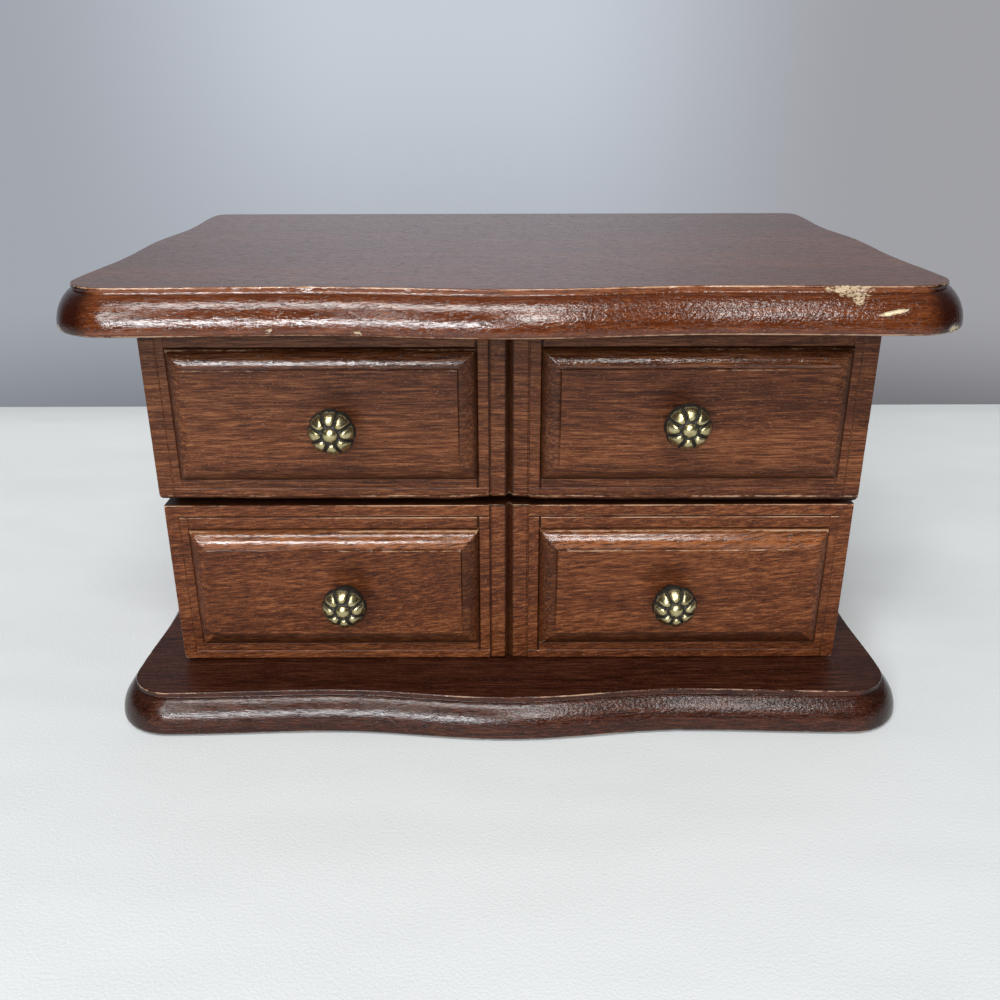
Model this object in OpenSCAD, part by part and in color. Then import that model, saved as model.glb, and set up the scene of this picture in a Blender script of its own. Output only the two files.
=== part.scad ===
// Vanity box with a mirror under its hinged lid, a fitted tray and one wide drawer.
// Millimetres, Z up. The origin is under the middle of the box, on the surface that it stands on.

/* [Lid and base boards] */
// Width across the top edges, at the front corners
board_w = 173.6; // [168:0.2:180]
// Depth from the front swell to the straight back edge
board_d = 118.6; // [116:0.2:124]
// Thickness of either board
board_t = 9; // [8.5:0.1:11]
// Plan radius of the front corners
front_corner_r = 9.5; // [7:0.5:12]
// Plan radius of the back corners
back_corner_r = 4; // [2:0.5:6]
// How far the ovolo edge swells past the top edge
swell = 3.6; // [2.5:0.1:4]
// Height of the upright fillet over the ovolo
fillet_h = 1.3; // [0.8:0.1:2]
// Step between the fillet and the ovolo
quirk = 0.35; // [0.1:0.05:0.8]
// Radius under the ovolo
toe_r = 0.9; // [0.5:0.1:1.2]
// Depth of the hollows beside the swell in the middle of the front edge
front_hollow = 3.3; // [1:0.1:5]

/* [Case] */
// Width over the case sides
case_w = 154; // [150:0.5:156]
// Height of the case, from the base to the lid
case_h = 81.6; // [80:0.1:90]
// Ledge of the base in front of the case
front_ledge = 15.9; // [14:0.1:20]
// Thickness of the case sides and back
wall_t = 8; // [7:0.5:9]
// Thickness of the moulded front boards
front_t = 9; // [8:0.5:10]
// Height of the gap between the upper front and the drawer front
seam_gap = 1.2; // [0.8:0.1:2]
// Thickness of the tray floor
floor_t = 3; // [2.5:0.5:4]
// Depth of the grooves that hold the thin panels
groove = 3; // [2:0.5:4]
// Thickness of the felt under the base
foot_felt_t = 0.5; // [0.4:0.1:1]

/* [Drawer] */
// Height of the drawer front
drawer_h = 39.6; // [38:0.1:41]
// Thickness of the drawer's sides and back
drawer_t = 6; // [5:0.5:7]
// Clearance on each side of the drawer
drawer_clear = 0.6; // [0.3:0.1:1]
// Clearance under the drawer front
drawer_lift = 0.4; // [0.3:0.1:0.8]
// Thickness of the drawer bottom
bottom_t = 2.5; // [2:0.5:3]
// Thickness of the cloth linings
lining_t = 0.8; // [0.5:0.1:1.2]

/* [Raised panels] */
// Distance of a panel's inner edge from the middle of the front
panel_in = 6.7; // [6:0.1:9]
// Distance of a panel's outer edge from the middle of the front
panel_out = 72.2; // [70:0.1:73]
// Height of a panel
panel_h = 29.6; // [26:0.1:31]
// How far a panel's flat field stands in front of the frame round it
field_rise = 2.9; // [1:0.1:4]
// Depth of the sunk ground that a panel sits in
sink = 0.3; // [0.1:0.1:1]
// Width of the ovolo round a panel's flat field
ovolo_w = 4; // [2.5:0.1:5]

/* [Knobs] */
// Distance of a knob from the middle of the front
knob_x = 36.8; // [30:0.2:42]
// Radius of a knob's head
knob_r = 5; // [4:0.1:6]
// Petals round a knob's head
petals = 8; // [6:1:10]

/* [Lid fittings] */
// Width of the mirror
mirror_w = 126; // [100:1:126]
// Depth of the mirror
mirror_d = 63; // [50:1:63]
// Thickness of the mirror
mirror_t = 2; // [1.5:0.5:3]
// Width of the bead round the mirror
bead_w = 6; // [5:0.5:6]
// Angle at which the back of the lid stops against the case
lid_stop = 105; // [98:1:112]
// Length of a hinge
hinge_len = 20; // [16:1:25]
// Distance of a hinge's middle from the middle of the box
hinge_x = 45; // [35:1:50]
// Radius of a hinge's barrel
barrel_r = 1.75; // [1.5:0.05:2]

/* [Hidden] */
$fn = 48;
e = 0.01;

// Heights
base_top = foot_felt_t + board_t;
case_top = base_top + case_h;
hinge_gap = 0.2;
tray_rise = 1.8;
lid_z = case_top + hinge_gap;
drawer_z = base_top + drawer_lift;
drawer_top = drawer_z + drawer_h;
upper_z = drawer_top + seam_gap;
floor_z = upper_z + tray_rise;
tray_z = floor_z + floor_t;

// Depths: the box is centred between the swell of the base and the back edges
back_edge = (board_d + swell) / 2;
front_edge = back_edge - board_d;
face_y = front_edge + front_ledge;
joint_y = face_y + front_t;
barrel_clear = 0.15;
hinge_offset = barrel_r + barrel_clear;
hinge_y = back_edge - hinge_offset / sin(lid_stop - 90);
case_back_y = hinge_y - hinge_offset;
back_in = case_back_y - wall_t;
side_in = case_w / 2 - wall_t;

// Colours
mahogany = [0.36, 0.17, 0.09];
dark_mahogany = [0.24, 0.10, 0.06];
plain_wood = [0.72, 0.55, 0.36];
brass = [0.62, 0.55, 0.30];
velvet = [0.42, 0.05, 0.08];

// Crests and hollows of the edges, as [distance, distance inside the widest line].
// Along the front the distance is from the middle, along a side from the front edge.
corner_crest = 2.2;
corner_y = corner_crest + front_corner_r;
corner_x = board_w / 2 - front_corner_r;
front_wave = [[0, 0], [40, front_hollow], [corner_x, corner_crest]];
side_wave = [[corner_y, 0], [38, 1.1], [62, 0.3], [87, 2], [112, 1], [board_d, 1.3]];

function ease(u) = (1 - cos(180 * u)) / 2;
function wave(w, t, i = 0) =
    t > w[i + 1][0] && i < len(w) - 2 ? wave(w, t, i + 1)
    : w[i][1] + (w[i + 1][1] - w[i][1]) * ease((t - w[i][0]) / (w[i + 1][0] - w[i][0]));
function arc(c, r, a0, a1, steps) =
    [for (i = [1:steps - 1]) let (a = a0 + (a1 - a0) * i / steps) c + r * [cos(a), sin(a)]];
function side_x(t) = board_w / 2 - wave(side_wave, t);

front_steps = 18;
side_steps = 20;
last_y = board_d - back_corner_r;
right_edge = concat(
    [for (i = [0:front_steps]) let (x = corner_x * i / front_steps) [x, wave(front_wave, x)]],
    arc([corner_x, corner_y], front_corner_r, -90, 0, 7),
    [for (i = [0:side_steps]) let (t = corner_y + (last_y - corner_y) * i / side_steps)
        [side_x(t), t]],
    arc([side_x(last_y) - back_corner_r, last_y], back_corner_r, 0, 90, 4),
    [[side_x(last_y) - back_corner_r, board_d]]);
plan = concat(right_edge,
    [for (i = [len(right_edge) - 1:-1:1]) [-right_edge[i][0], right_edge[i][1]]]);

function outward(p, i) =
    let (n = len(p), d = p[(i + 1) % n] - p[(i + n - 1) % n]) [d[1], -d[0]] / norm(d);

// The edge moulding from the underside up, as [distance past the top edge, height]
ovolo_h = board_t - fillet_h - toe_r;
ovolo_a = 2 * atan((swell - quirk) / ovolo_h);
ovolo_r = ovolo_h / sin(ovolo_a);
ovolo_steps = 6;
moulding = concat(
    [for (a = [0:45:90]) [swell - toe_r + toe_r * sin(a), toe_r * (1 - cos(a))]],
    [for (i = [1:ovolo_steps]) let (a = ovolo_a * i / ovolo_steps)
        [swell - ovolo_r * (1 - cos(a)), toe_r + ovolo_r * sin(a)]],
    [[0, board_t - fillet_h], [0, board_t]]);

// A board whose front and sides follow the plan and carry the moulding; its back is sawn straight
module moulded_board() {
    n = len(plan);
    rings = len(moulding);
    points = [for (m = moulding) for (i = [0:n - 1])
        let (p = plan[i] + m[0] * outward(plan, i)) [p[0], min(p[1], board_d), m[1]]];
    sides = [for (k = [0:rings - 2]) for (i = [0:n - 1]) let (j = (i + 1) % n)
        [k * n + i, (k + 1) * n + i, (k + 1) * n + j, k * n + j]];
    underside = [for (i = [0:n - 1]) i];
    top = [for (i = [n - 1:-1:0]) (rings - 1) * n + i];
    translate([0, front_edge, 0])
        polyhedron(points, concat(sides, [underside, top]), convexity = 4);
}

// What a plane takes off a square corner to leave radius r
module corner_waste(r) {
    difference() {
        translate([-e, -e]) square(r + e);
        translate([r, r]) circle(r);
    }
}

module along_x(length) {
    translate([-length / 2, 0, 0]) rotate([90, 0, 90]) linear_extrude(length) children();
}

module hole_y(r, x, z, y0, y1) {
    translate([x, y0, z]) rotate([-90, 0, 0]) cylinder(r = r, h = y1 - y0);
}

// Base

base_screw_xy = [for (x = [-1, 1]) for (y = [-22, 38]) [x * (case_w - wall_t) / 2, y]];
screw_r = 1.4;
screw_head_r = 2.8;
screw_len = 18;

slot_share = 0.25;

// Countersunk screw with its head on Z = 0, or the hole for one
module wood_screw(r, head_r, length, slotted) {
    difference() {
        union() {
            cylinder(r1 = head_r, r2 = r, h = head_r - r);
            cylinder(r = r, h = length);
        }
        if (slotted) screw_slot(head_r, (head_r - r) / 2);
    }
}

module screw_slot(head_r, depth) {
    width = slot_share * head_r;
    translate([-head_r - e, -width / 2, -e]) cube([2 * (head_r + e), width, depth + e]);
}

module base_screw_set(slotted) {
    for (p = base_screw_xy) translate([p[0], p[1], foot_felt_t])
        wood_screw(screw_r, screw_head_r, screw_len, slotted);
}

module base_screws() {
    color(brass) base_screw_set(true);
}

module base_board() {
    color(dark_mahogany) difference() {
        translate([0, 0, foot_felt_t]) moulded_board();
        base_screw_set(false);
    }
}

felt_inset = 6;

module base_felt() {
    w = board_w - 2 * felt_inset;
    d = board_d - 2 * felt_inset;
    color([0.12, 0.2, 0.14]) translate([-w / 2, front_edge + felt_inset, 0])
        cube([w, d, foot_felt_t]);
}

// Case

module case_side() {
    difference() {
        translate([side_in, joint_y, base_top])
            cube([wall_t, case_back_y - joint_y, case_h]);
        translate([side_in - e, joint_y - e, floor_z])
            cube([groove + e, back_in - joint_y + e, floor_t]);
    }
}

module case_side_right() {
    color(mahogany) difference() {
        case_side();
        base_screw_set(false);
    }
}

module case_side_left() {
    color(mahogany) difference() {
        mirror([1, 0, 0]) case_side();
        base_screw_set(false);
    }
}

module case_back() {
    color(mahogany) difference() {
        translate([-side_in, back_in, base_top]) cube([2 * side_in, wall_t, case_h]);
        translate([-side_in - e, back_in - e, floor_z])
            cube([2 * side_in + 2 * e, groove + e, floor_t]);
        for (s = [-1, 1]) translate([s * hinge_x, hinge_y, lid_z]) leaf_mortise(-1);
        at_case_leaves() leaf_screws(false);
    }
}

// Front boards: a centre groove, two raised panels and the scored lines round them

strip_in = 4.2;
strip_out = 74.2;
strip_sink = 0.3;
panel_bury = 0.3;
score_w = 0.45;
score_d = 0.6;
v_groove_w = 1.9;
v_groove_d = 1.6;
panel_gap = 0.15;
field_step = 0.3;
field_h = sink + field_rise;
crest_h = field_h - field_step;
line_above = 3.1;
line_below = 2.2;

// Section through a raised panel: an ovolo up to a fine step, then the flat field
module panel_section(length) {
    half = length / 2;
    field = half - panel_gap - ovolo_w;
    translate([-field, -e]) square([2 * field, field_h + e]);
    intersection() {
        for (s = [-1, 1]) translate([s * field, 0]) scale([ovolo_w, crest_h]) circle(1);
        translate([-half, -e]) square([length, crest_h + e]);
    }
    translate([-half + panel_gap, -panel_bury]) square([length - 2 * panel_gap, panel_bury]);
}

// Two sections crossed at right angles leave a panel with mitred corners
module raised_panel(w, h) {
    intersection() {
        translate([0, 0, -h / 2]) linear_extrude(h) mirror([0, 1]) panel_section(w);
        translate([-w / 2, 0, 0]) rotate([0, 90, 0]) linear_extrude(w)
            mirror([0, 1]) panel_section(h);
    }
}

module score(x0, z0, w, h) {
    translate([x0, -e, z0]) cube([w, score_d + e, h]);
}

// Front board with its face on Y = 0 and its bottom on Z = 0
module front_board(w, h, t, panel_z, low_r, high_r) {
    panel_w = panel_out - panel_in;
    middle = (panel_in + panel_out) / 2;
    low_line = panel_z - line_below;
    high_line = panel_z + panel_h + line_above;
    difference() {
        along_x(w) difference() {
            square([t, h]);
            corner_waste(low_r);
            translate([0, h]) mirror([0, 1]) corner_waste(high_r);
        }
        translate([0, 0, -e]) linear_extrude(h + 2 * e)
            polygon([[-v_groove_w / 2, -e], [v_groove_w / 2, -e], [0, v_groove_d]]);
        for (s = [0, 1]) mirror([s, 0, 0]) {
            translate([-e, -e, -e]) cube([strip_in + e, strip_sink + e, h + 2 * e]);
            translate([strip_out, -e, -e]) cube([w, strip_sink + e, h + 2 * e]);
            translate([panel_in, -e, panel_z]) cube([panel_w, sink + e, panel_h]);
            score(strip_in, -e, score_w, h + 2 * e);
            score(strip_out - score_w, -e, score_w, h + 2 * e);
            score(panel_in, low_line, score_w, high_line - low_line);
            score(panel_out - score_w, low_line, score_w, high_line - low_line);
            score(strip_in, low_line, strip_out - strip_in, score_w);
            score(strip_in, high_line - score_w, strip_out - strip_in, score_w);
        }
    }
    for (s = [-1, 1]) translate([s * middle, sink, panel_z + panel_h / 2])
        raised_panel(panel_w, panel_h);
}

upper_w = case_w + 1;
upper_low_r = 1.5;
drawer_high_r = 0.8;
eased_r = 0.3;
upper_h = case_top - upper_z;
upper_panel_z = 5;
drawer_panel_z = 4.2;
drawer_face = 0.3;
drawer_stop_gap = 0.15;
drawer_front_t = front_t - drawer_face - drawer_stop_gap;
knob_hole_r = 1.55;
knob_seat = face_y - field_rise;
knob_drop = 0.4;
knob_skew = 0.45;
drawer_knob_z = drawer_z + drawer_panel_z + panel_h / 2 - knob_drop;
notch_w = 12;
notch_h = 0.8;

// The upper knobs are drilled out of level, the left one lower
function upper_knob_z(side) = upper_z + upper_panel_z + panel_h / 2 - knob_drop + side * knob_skew;

module upper_front() {
    notch_r = (pow(notch_w / 2, 2) + pow(notch_h, 2)) / (2 * notch_h);
    color(mahogany) difference() {
        translate([0, face_y, upper_z])
            front_board(upper_w, upper_h, front_t, upper_panel_z, upper_low_r, eased_r);
        hole_y(notch_r, 0, upper_z + notch_h - notch_r, face_y - 1, face_y + 3, $fn = 200);
        translate([-side_in, joint_y - groove, floor_z])
            cube([2 * side_in, groove + e, floor_t]);
        for (s = [-1, 1])
            hole_y(knob_hole_r, s * knob_x, upper_knob_z(s), knob_seat - 1, joint_y + 1);
    }
}

// Tray under the lid

divider_x = -22.5;
divider_t = 3;
divider_h = 26;
cross_y = 7;

module tray_floor() {
    color(plain_wood) union() {
        translate([-side_in - groove, joint_y, floor_z])
            cube([2 * (side_in + groove), back_in - joint_y, floor_t]);
        translate([-side_in, joint_y - groove, floor_z])
            cube([2 * side_in, back_in - joint_y + 2 * groove, floor_t]);
    }
}

module tray_lining() {
    color(velvet) translate([-side_in, joint_y, tray_z])
        cube([2 * side_in, back_in - joint_y, lining_t]);
}

module tray_divider() {
    color(velvet) translate([divider_x - divider_t / 2, joint_y, tray_z + lining_t])
        cube([divider_t, back_in - joint_y, divider_h]);
}

module tray_cross_divider() {
    x0 = divider_x + divider_t / 2;
    color(velvet) translate([x0, cross_y - divider_t / 2, tray_z + lining_t])
        cube([side_in - x0, divider_t, divider_h]);
}

rolls = 7;
roll_pad = 3;
roll_bury = 1.2;
roll_play = 0.3;
roll_gap = 0.4;

// Stuffed rolls side by side on a pad; rings stand in the clefts
module ring_rolls() {
    x0 = -side_in + roll_play;
    w = divider_x - divider_t / 2 - roll_play - x0;
    y0 = joint_y + roll_play;
    pitch = (back_in - joint_y - 2 * roll_play) / rolls;
    z0 = tray_z + lining_t;
    r = (pitch - roll_gap) / 2;
    color([0.5, 0.07, 0.1]) {
        translate([x0, y0, z0]) cube([w, rolls * pitch, roll_pad]);
        intersection() {
            translate([x0, y0, z0 + roll_pad - e]) cube([w, rolls * pitch, 2 * r]);
            for (i = [0:rolls - 1])
                translate([x0 + roll_gap, y0 + (i + 0.5) * pitch, z0 + roll_pad + roll_bury])
                    rotate([0, 90, 0]) cylinder(r = r, h = w - 2 * roll_gap);
        }
    }
}

// Drawer

drawer_out = side_in - drawer_clear;
drawer_in = drawer_out - drawer_t;
drawer_lip = 2.8;
back_drop = 2;
back_play = 3.4;
side_drop = 0.4;
runner_z = drawer_z - 0.1;
bottom_z = runner_z + drawer_lip;
drawer_front_y = joint_y - drawer_stop_gap;
drawer_back_y = back_in - back_play;
drawer_side_h = drawer_top - side_drop - runner_z;

module drawer_front() {
    color(mahogany) difference() {
        translate([0, face_y + drawer_face, drawer_z])
            front_board(case_w, drawer_h, drawer_front_t, drawer_panel_z, eased_r, drawer_high_r);
        translate([-drawer_in - groove, drawer_front_y - groove, bottom_z])
            cube([2 * (drawer_in + groove), groove + e, bottom_t]);
        for (s = [-1, 1])
            hole_y(knob_hole_r, s * knob_x, drawer_knob_z, knob_seat - 1, joint_y + 1);
    }
}

module drawer_side() {
    difference() {
        translate([drawer_in, drawer_front_y, runner_z])
            cube([drawer_t, drawer_back_y - drawer_front_y, drawer_side_h]);
        translate([drawer_in - e, drawer_front_y - e, bottom_z])
            cube([groove + e, drawer_back_y - drawer_front_y + 2 * e, bottom_t]);
    }
}

module drawer_side_right() {
    color(plain_wood) drawer_side();
}

module drawer_side_left() {
    color(plain_wood) mirror([1, 0, 0]) drawer_side();
}

module drawer_back() {
    z0 = bottom_z + bottom_t;
    color(plain_wood) translate([-drawer_in, drawer_back_y - drawer_t, z0])
        cube([2 * drawer_in, drawer_t, runner_z + drawer_side_h - back_drop - z0]);
}

module drawer_bottom() {
    color(plain_wood) translate([-drawer_in - groove, drawer_front_y - groove, bottom_z])
        cube([2 * (drawer_in + groove), drawer_back_y - drawer_front_y + groove, bottom_t]);
}

module drawer_lining() {
    color(velvet) translate([-drawer_in, drawer_front_y, bottom_z + bottom_t])
        cube([2 * drawer_in, drawer_back_y - drawer_t - drawer_front_y, lining_t]);
}

// Knobs

knob_lobe_r = 2.7;
knob_head_z = 6.3;
knob_foot_r = 3.4;
knob_foot_h = 0.9;
knob_stem_r = 2.3;
knob_boss_r = 1.65;
knob_boss_rise = 1.2;
knob_slot_w = 0.7;
knob_slot_d = 0.5;
knob_bore = 5.5;
knob_screw_play = 0.5;
thread_play = 0.05;
knob_screw_head_r = 3;
knob_screw_head_h = 2;

module lobe_ring(r) {
    translate([0, 0, knob_head_z]) rotate_extrude() intersection() {
        translate([knob_r - knob_lobe_r, 0]) circle(r);
        translate([0, -knob_r]) square(2 * knob_r);
    }
}

// Cast flower knob, standing on Z = 0: a puffed ring cut into petals round a button
module flower_knob() {
    difference() {
        union() {
            cylinder(r = knob_foot_r, h = knob_foot_h);
            cylinder(r = knob_stem_r, h = knob_head_z);
            lobe_ring(knob_lobe_r - knob_slot_d);
            difference() {
                lobe_ring(knob_lobe_r);
                for (i = [0:petals - 1]) rotate((i + 0.5) * 360 / petals)
                    translate([0, -knob_slot_w / 2, 0]) cube([2 * knob_r, knob_slot_w, 2 * knob_head_z]);
            }
            translate([0, 0, knob_head_z + knob_boss_rise]) sphere(r = knob_boss_r);
        }
        translate([0, 0, -e]) cylinder(r = knob_hole_r, h = knob_bore);
    }
}

module knob_at(x, y, z) {
    color(brass) translate([x, y, z]) rotate([90, 0, 0]) flower_knob();
}

module upper_knob_left() {
    knob_at(-knob_x, knob_seat, upper_knob_z(-1));
}

module upper_knob_right() {
    knob_at(knob_x, knob_seat, upper_knob_z(1));
}

module drawer_knob_left() {
    knob_at(-knob_x, knob_seat + drawer_face, drawer_knob_z);
}

module drawer_knob_right() {
    knob_at(knob_x, knob_seat + drawer_face, drawer_knob_z);
}

// Two pan-head screws that hold a pair of knobs from behind
module knob_screws(seat, head_y, heights) {
    tip_y = seat - knob_bore + knob_screw_play;
    color(brass) for (i = [0, 1]) translate([(2 * i - 1) * knob_x, 0, heights[i]]) difference() {
        union() {
            hole_y(knob_hole_r - thread_play, 0, 0, tip_y, head_y + e);
            hole_y(knob_screw_head_r, 0, 0, head_y, head_y + knob_screw_head_h);
        }
        translate([0, head_y + knob_screw_head_h, 0]) rotate([90, 0, 0])
            screw_slot(knob_screw_head_r, knob_screw_head_h / 2);
    }
}

module upper_knob_screws() {
    knob_screws(knob_seat, joint_y, [upper_knob_z(-1), upper_knob_z(1)]);
}

module drawer_knob_screws() {
    knob_screws(knob_seat + drawer_face, drawer_front_y, [drawer_knob_z, drawer_knob_z]);
}

// Lid

backing_t = 0.5;
mirror_play = 0.2;
mirror_y = 5.5;
bead_t = 3;
bead_lap = 2;
bead_round = 2;
frame_w = mirror_w + 2 * (bead_w - bead_lap);
frame_d = mirror_d + 2 * (bead_w - bead_lap);
brad_r = 0.45;
brad_len = 7;

module mirror_slab(w, d, z, t) {
    translate([-w / 2, mirror_y - d / 2, z]) cube([w, d, t]);
}

module lid_board() {
    recess = mirror_t + backing_t;
    color(mahogany) difference() {
        translate([0, 0, lid_z]) moulded_board();
        mirror_slab(mirror_w + 2 * mirror_play, mirror_d + 2 * mirror_play, lid_z - e, recess + e);
        for (s = [-1, 1]) translate([s * hinge_x, hinge_y, case_top]) {
            leaf_mortise(1);
            translate([-hinge_len / 2 - 2 * knuckle_relief, 0, hinge_gap / 2]) rotate([0, 90, 0])
                cylinder(r = barrel_r + knuckle_relief, h = hinge_len + 4 * knuckle_relief);
        }
        at_lid_leaves() leaf_screws(false);
        mirror_brads();
    }
}

module mirror_glass() {
    color([0.75, 0.8, 0.82]) mirror_slab(mirror_w, mirror_d, lid_z, mirror_t);
}

module mirror_backing() {
    color([0.5, 0.42, 0.32]) mirror_slab(mirror_w, mirror_d, lid_z + mirror_t, backing_t);
}

// One side of the frame round the mirror, mitred at both ends; it runs along X at Y = 0
module bead(length) {
    intersection() {
        translate([0, 0, lid_z - bead_t]) along_x(length) difference() {
            square([bead_w, bead_t]);
            translate([bead_w, 0]) mirror([1, 0]) corner_waste(bead_round);
        }
        translate([0, 0, lid_z - bead_t]) linear_extrude(bead_t) polygon([
            [-length / 2, 0], [length / 2, 0],
            [length / 2 - bead_w, bead_w], [-length / 2 + bead_w, bead_w]]);
    }
}

module bead_at(turn, length, reach) {
    color(mahogany) difference() {
        translate([0, mirror_y, 0]) rotate(turn) translate([0, -reach / 2, 0]) bead(length);
        mirror_brads();
    }
}

module mirror_bead_front() {
    bead_at(0, frame_w, frame_d);
}

module mirror_bead_back() {
    bead_at(180, frame_w, frame_d);
}

module mirror_bead_left() {
    bead_at(-90, frame_d, frame_w);
}

module mirror_bead_right() {
    bead_at(90, frame_d, frame_w);
}

module brad() {
    cylinder(r = 2 * brad_r, h = brad_r);
    cylinder(r = brad_r, h = brad_len);
}

// Pins through the outer part of the beads, clear of the glass
module mirror_brads() {
    rail = (bead_w - bead_lap) / 2;
    color(brass) for (s = [-1, 1]) for (t = [-1, 1]) {
        translate([s * frame_w / 3, mirror_y + t * (frame_d / 2 - rail), lid_z - bead_t]) brad();
        translate([s * (frame_w / 2 - rail), mirror_y + t * frame_d / 4, lid_z - bead_t]) brad();
    }
}

// Butt hinges: five knuckles, three on the case leaf and two on the lid leaf

leaf_t = 0.8;
leaf_w = 7.2;
pin_r = 0.75;
pin_clear = 0.05;
pin_head_r = 1.2;
pin_head_h = 0.5;
knuckle_relief = 0.4;
knuckles = 5;
knuckle_gap = 0.1;
leaf_screw_x = 6;
leaf_screw_y = -4.6;
leaf_screw_r = 0.8;
leaf_screw_len = 6.5;

// Seat for a leaf: side -1 in the case under Z = 0, side 1 in the lid over the hinge gap
module leaf_mortise(side) {
    z = side < 0 ? -hinge_gap - leaf_t : hinge_gap - e;
    translate([-hinge_len / 2, -leaf_w, z]) cube([hinge_len, leaf_w + 1, leaf_t + e]);
}

module knuckle_row(r, first, gap) {
    k = hinge_len / knuckles;
    for (i = [first:2:knuckles - 1])
        translate([-hinge_len / 2 + i * k + gap / 2, 0, 0]) rotate([0, 90, 0])
            cylinder(r = r, h = k - gap);
}

// Lid leaf about its own axis, with the plate above the axis; first is its first knuckle
module hinge_leaf(first, bore_r) {
    difference() {
        union() {
            translate([-hinge_len / 2, -leaf_w, hinge_gap / 2]) cube([hinge_len, leaf_w, leaf_t]);
            knuckle_row(barrel_r, first, knuckle_gap);
        }
        translate([-hinge_len / 2 - 1, 0, 0]) rotate([0, 90, 0])
            cylinder(r = bore_r, h = hinge_len + 2);
        knuckle_row(barrel_r + barrel_clear, 1 - first, -knuckle_gap);
        for (s = [-1, 1]) translate([s * leaf_screw_x, leaf_screw_y, hinge_gap / 2])
            leaf_screw(false);
    }
}

module leaf_screw(slotted) {
    wood_screw(leaf_screw_r, 2 * leaf_screw_r, leaf_screw_len, slotted);
}

module at_hinge(side) {
    translate([side * hinge_x, hinge_y, case_top + hinge_gap / 2]) children();
}

module hinge_lid_leaf_left() {
    color(brass) at_hinge(-1) hinge_leaf(1, pin_r + pin_clear);
}

module hinge_lid_leaf_right() {
    color(brass) at_hinge(1) hinge_leaf(1, pin_r + pin_clear);
}

module hinge_case_leaf_left() {
    color(brass) at_hinge(-1) mirror([0, 0, 1]) hinge_leaf(0, pin_r);
}

module hinge_case_leaf_right() {
    color(brass) at_hinge(1) mirror([0, 0, 1]) hinge_leaf(0, pin_r);
}

module hinge_pin() {
    rotate([0, 90, 0]) {
        translate([0, 0, -hinge_len / 2]) cylinder(r = pin_r, h = hinge_len);
        for (s = [0, 1]) mirror([0, 0, s]) translate([0, 0, hinge_len / 2])
            cylinder(r = pin_head_r, h = pin_head_h);
    }
}

module hinge_pin_left() {
    color(brass) at_hinge(-1) hinge_pin();
}

module hinge_pin_right() {
    color(brass) at_hinge(1) hinge_pin();
}

module leaf_screws(slotted) {
    for (s = [-1, 1]) for (x = [-1, 1])
        translate([s * hinge_x + x * leaf_screw_x, hinge_y + leaf_screw_y, hinge_gap / 2])
            leaf_screw(slotted);
}

module at_lid_leaves() {
    translate([0, 0, case_top + hinge_gap / 2]) children();
}

module at_case_leaves() {
    at_lid_leaves() mirror([0, 0, 1]) children();
}

module hinge_lid_screws() {
    color(brass) at_lid_leaves() leaf_screws(true);
}

module hinge_case_screws() {
    color(brass) at_case_leaves() leaf_screws(true);
}

base_board();
base_felt();
base_screws();
case_side_left();
case_side_right();
case_back();
upper_front();
tray_floor();
tray_lining();
tray_divider();
tray_cross_divider();
ring_rolls();
drawer_front();
drawer_side_left();
drawer_side_right();
drawer_back();
drawer_bottom();
drawer_lining();
upper_knob_left();
upper_knob_right();
drawer_knob_left();
drawer_knob_right();
upper_knob_screws();
drawer_knob_screws();
lid_board();
mirror_glass();
mirror_backing();
mirror_bead_front();
mirror_bead_back();
mirror_bead_left();
mirror_bead_right();
mirror_brads();
hinge_case_leaf_left();
hinge_case_leaf_right();
hinge_lid_leaf_left();
hinge_lid_leaf_right();
hinge_pin_left();
hinge_pin_right();
hinge_case_screws();
hinge_lid_screws();
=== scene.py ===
"""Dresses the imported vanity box: stained wood, cast brass, mirror glass and velvet."""

import math

import bmesh
import bpy
import numpy as np
from bpy.props import FloatProperty, FloatVectorProperty, IntProperty
from mathutils import Matrix, Vector


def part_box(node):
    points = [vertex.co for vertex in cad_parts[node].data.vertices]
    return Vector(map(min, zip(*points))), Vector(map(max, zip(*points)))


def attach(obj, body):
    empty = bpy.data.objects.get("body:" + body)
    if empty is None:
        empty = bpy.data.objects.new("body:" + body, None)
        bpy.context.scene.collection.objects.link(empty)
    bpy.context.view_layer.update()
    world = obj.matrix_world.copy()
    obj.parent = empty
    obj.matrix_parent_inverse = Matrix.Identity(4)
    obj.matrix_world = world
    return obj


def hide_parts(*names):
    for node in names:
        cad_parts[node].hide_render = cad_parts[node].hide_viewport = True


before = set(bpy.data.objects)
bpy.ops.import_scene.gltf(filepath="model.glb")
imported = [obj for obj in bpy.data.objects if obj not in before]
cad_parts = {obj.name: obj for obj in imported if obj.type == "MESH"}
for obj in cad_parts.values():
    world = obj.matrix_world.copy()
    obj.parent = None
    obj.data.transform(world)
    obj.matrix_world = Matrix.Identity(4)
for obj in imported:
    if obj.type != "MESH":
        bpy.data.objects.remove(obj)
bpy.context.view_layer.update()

bl_info = {
    "name": "Vanity Box",
    "version": (1, 0, 0),
    "blender": (4, 5, 0),
    "location": "View3D > Sidebar > Vanity Box",
    "description": "Moulded boards, raised panels, flower knobs, a mirror and a fitted tray",
    "category": "Add Mesh",
}

MM = 0.001


# ---- settings


def length(name, text, default):
    return FloatProperty(name=name, description=text, default=default, unit="LENGTH", precision=5)


def tint(name, text, default):
    return FloatVectorProperty(
        name=name, description=text, default=default, size=3, subtype="COLOR", min=0, max=1
    )


def power(name, text, default):
    return FloatProperty(name=name, description=text, default=default, min=0)


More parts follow.
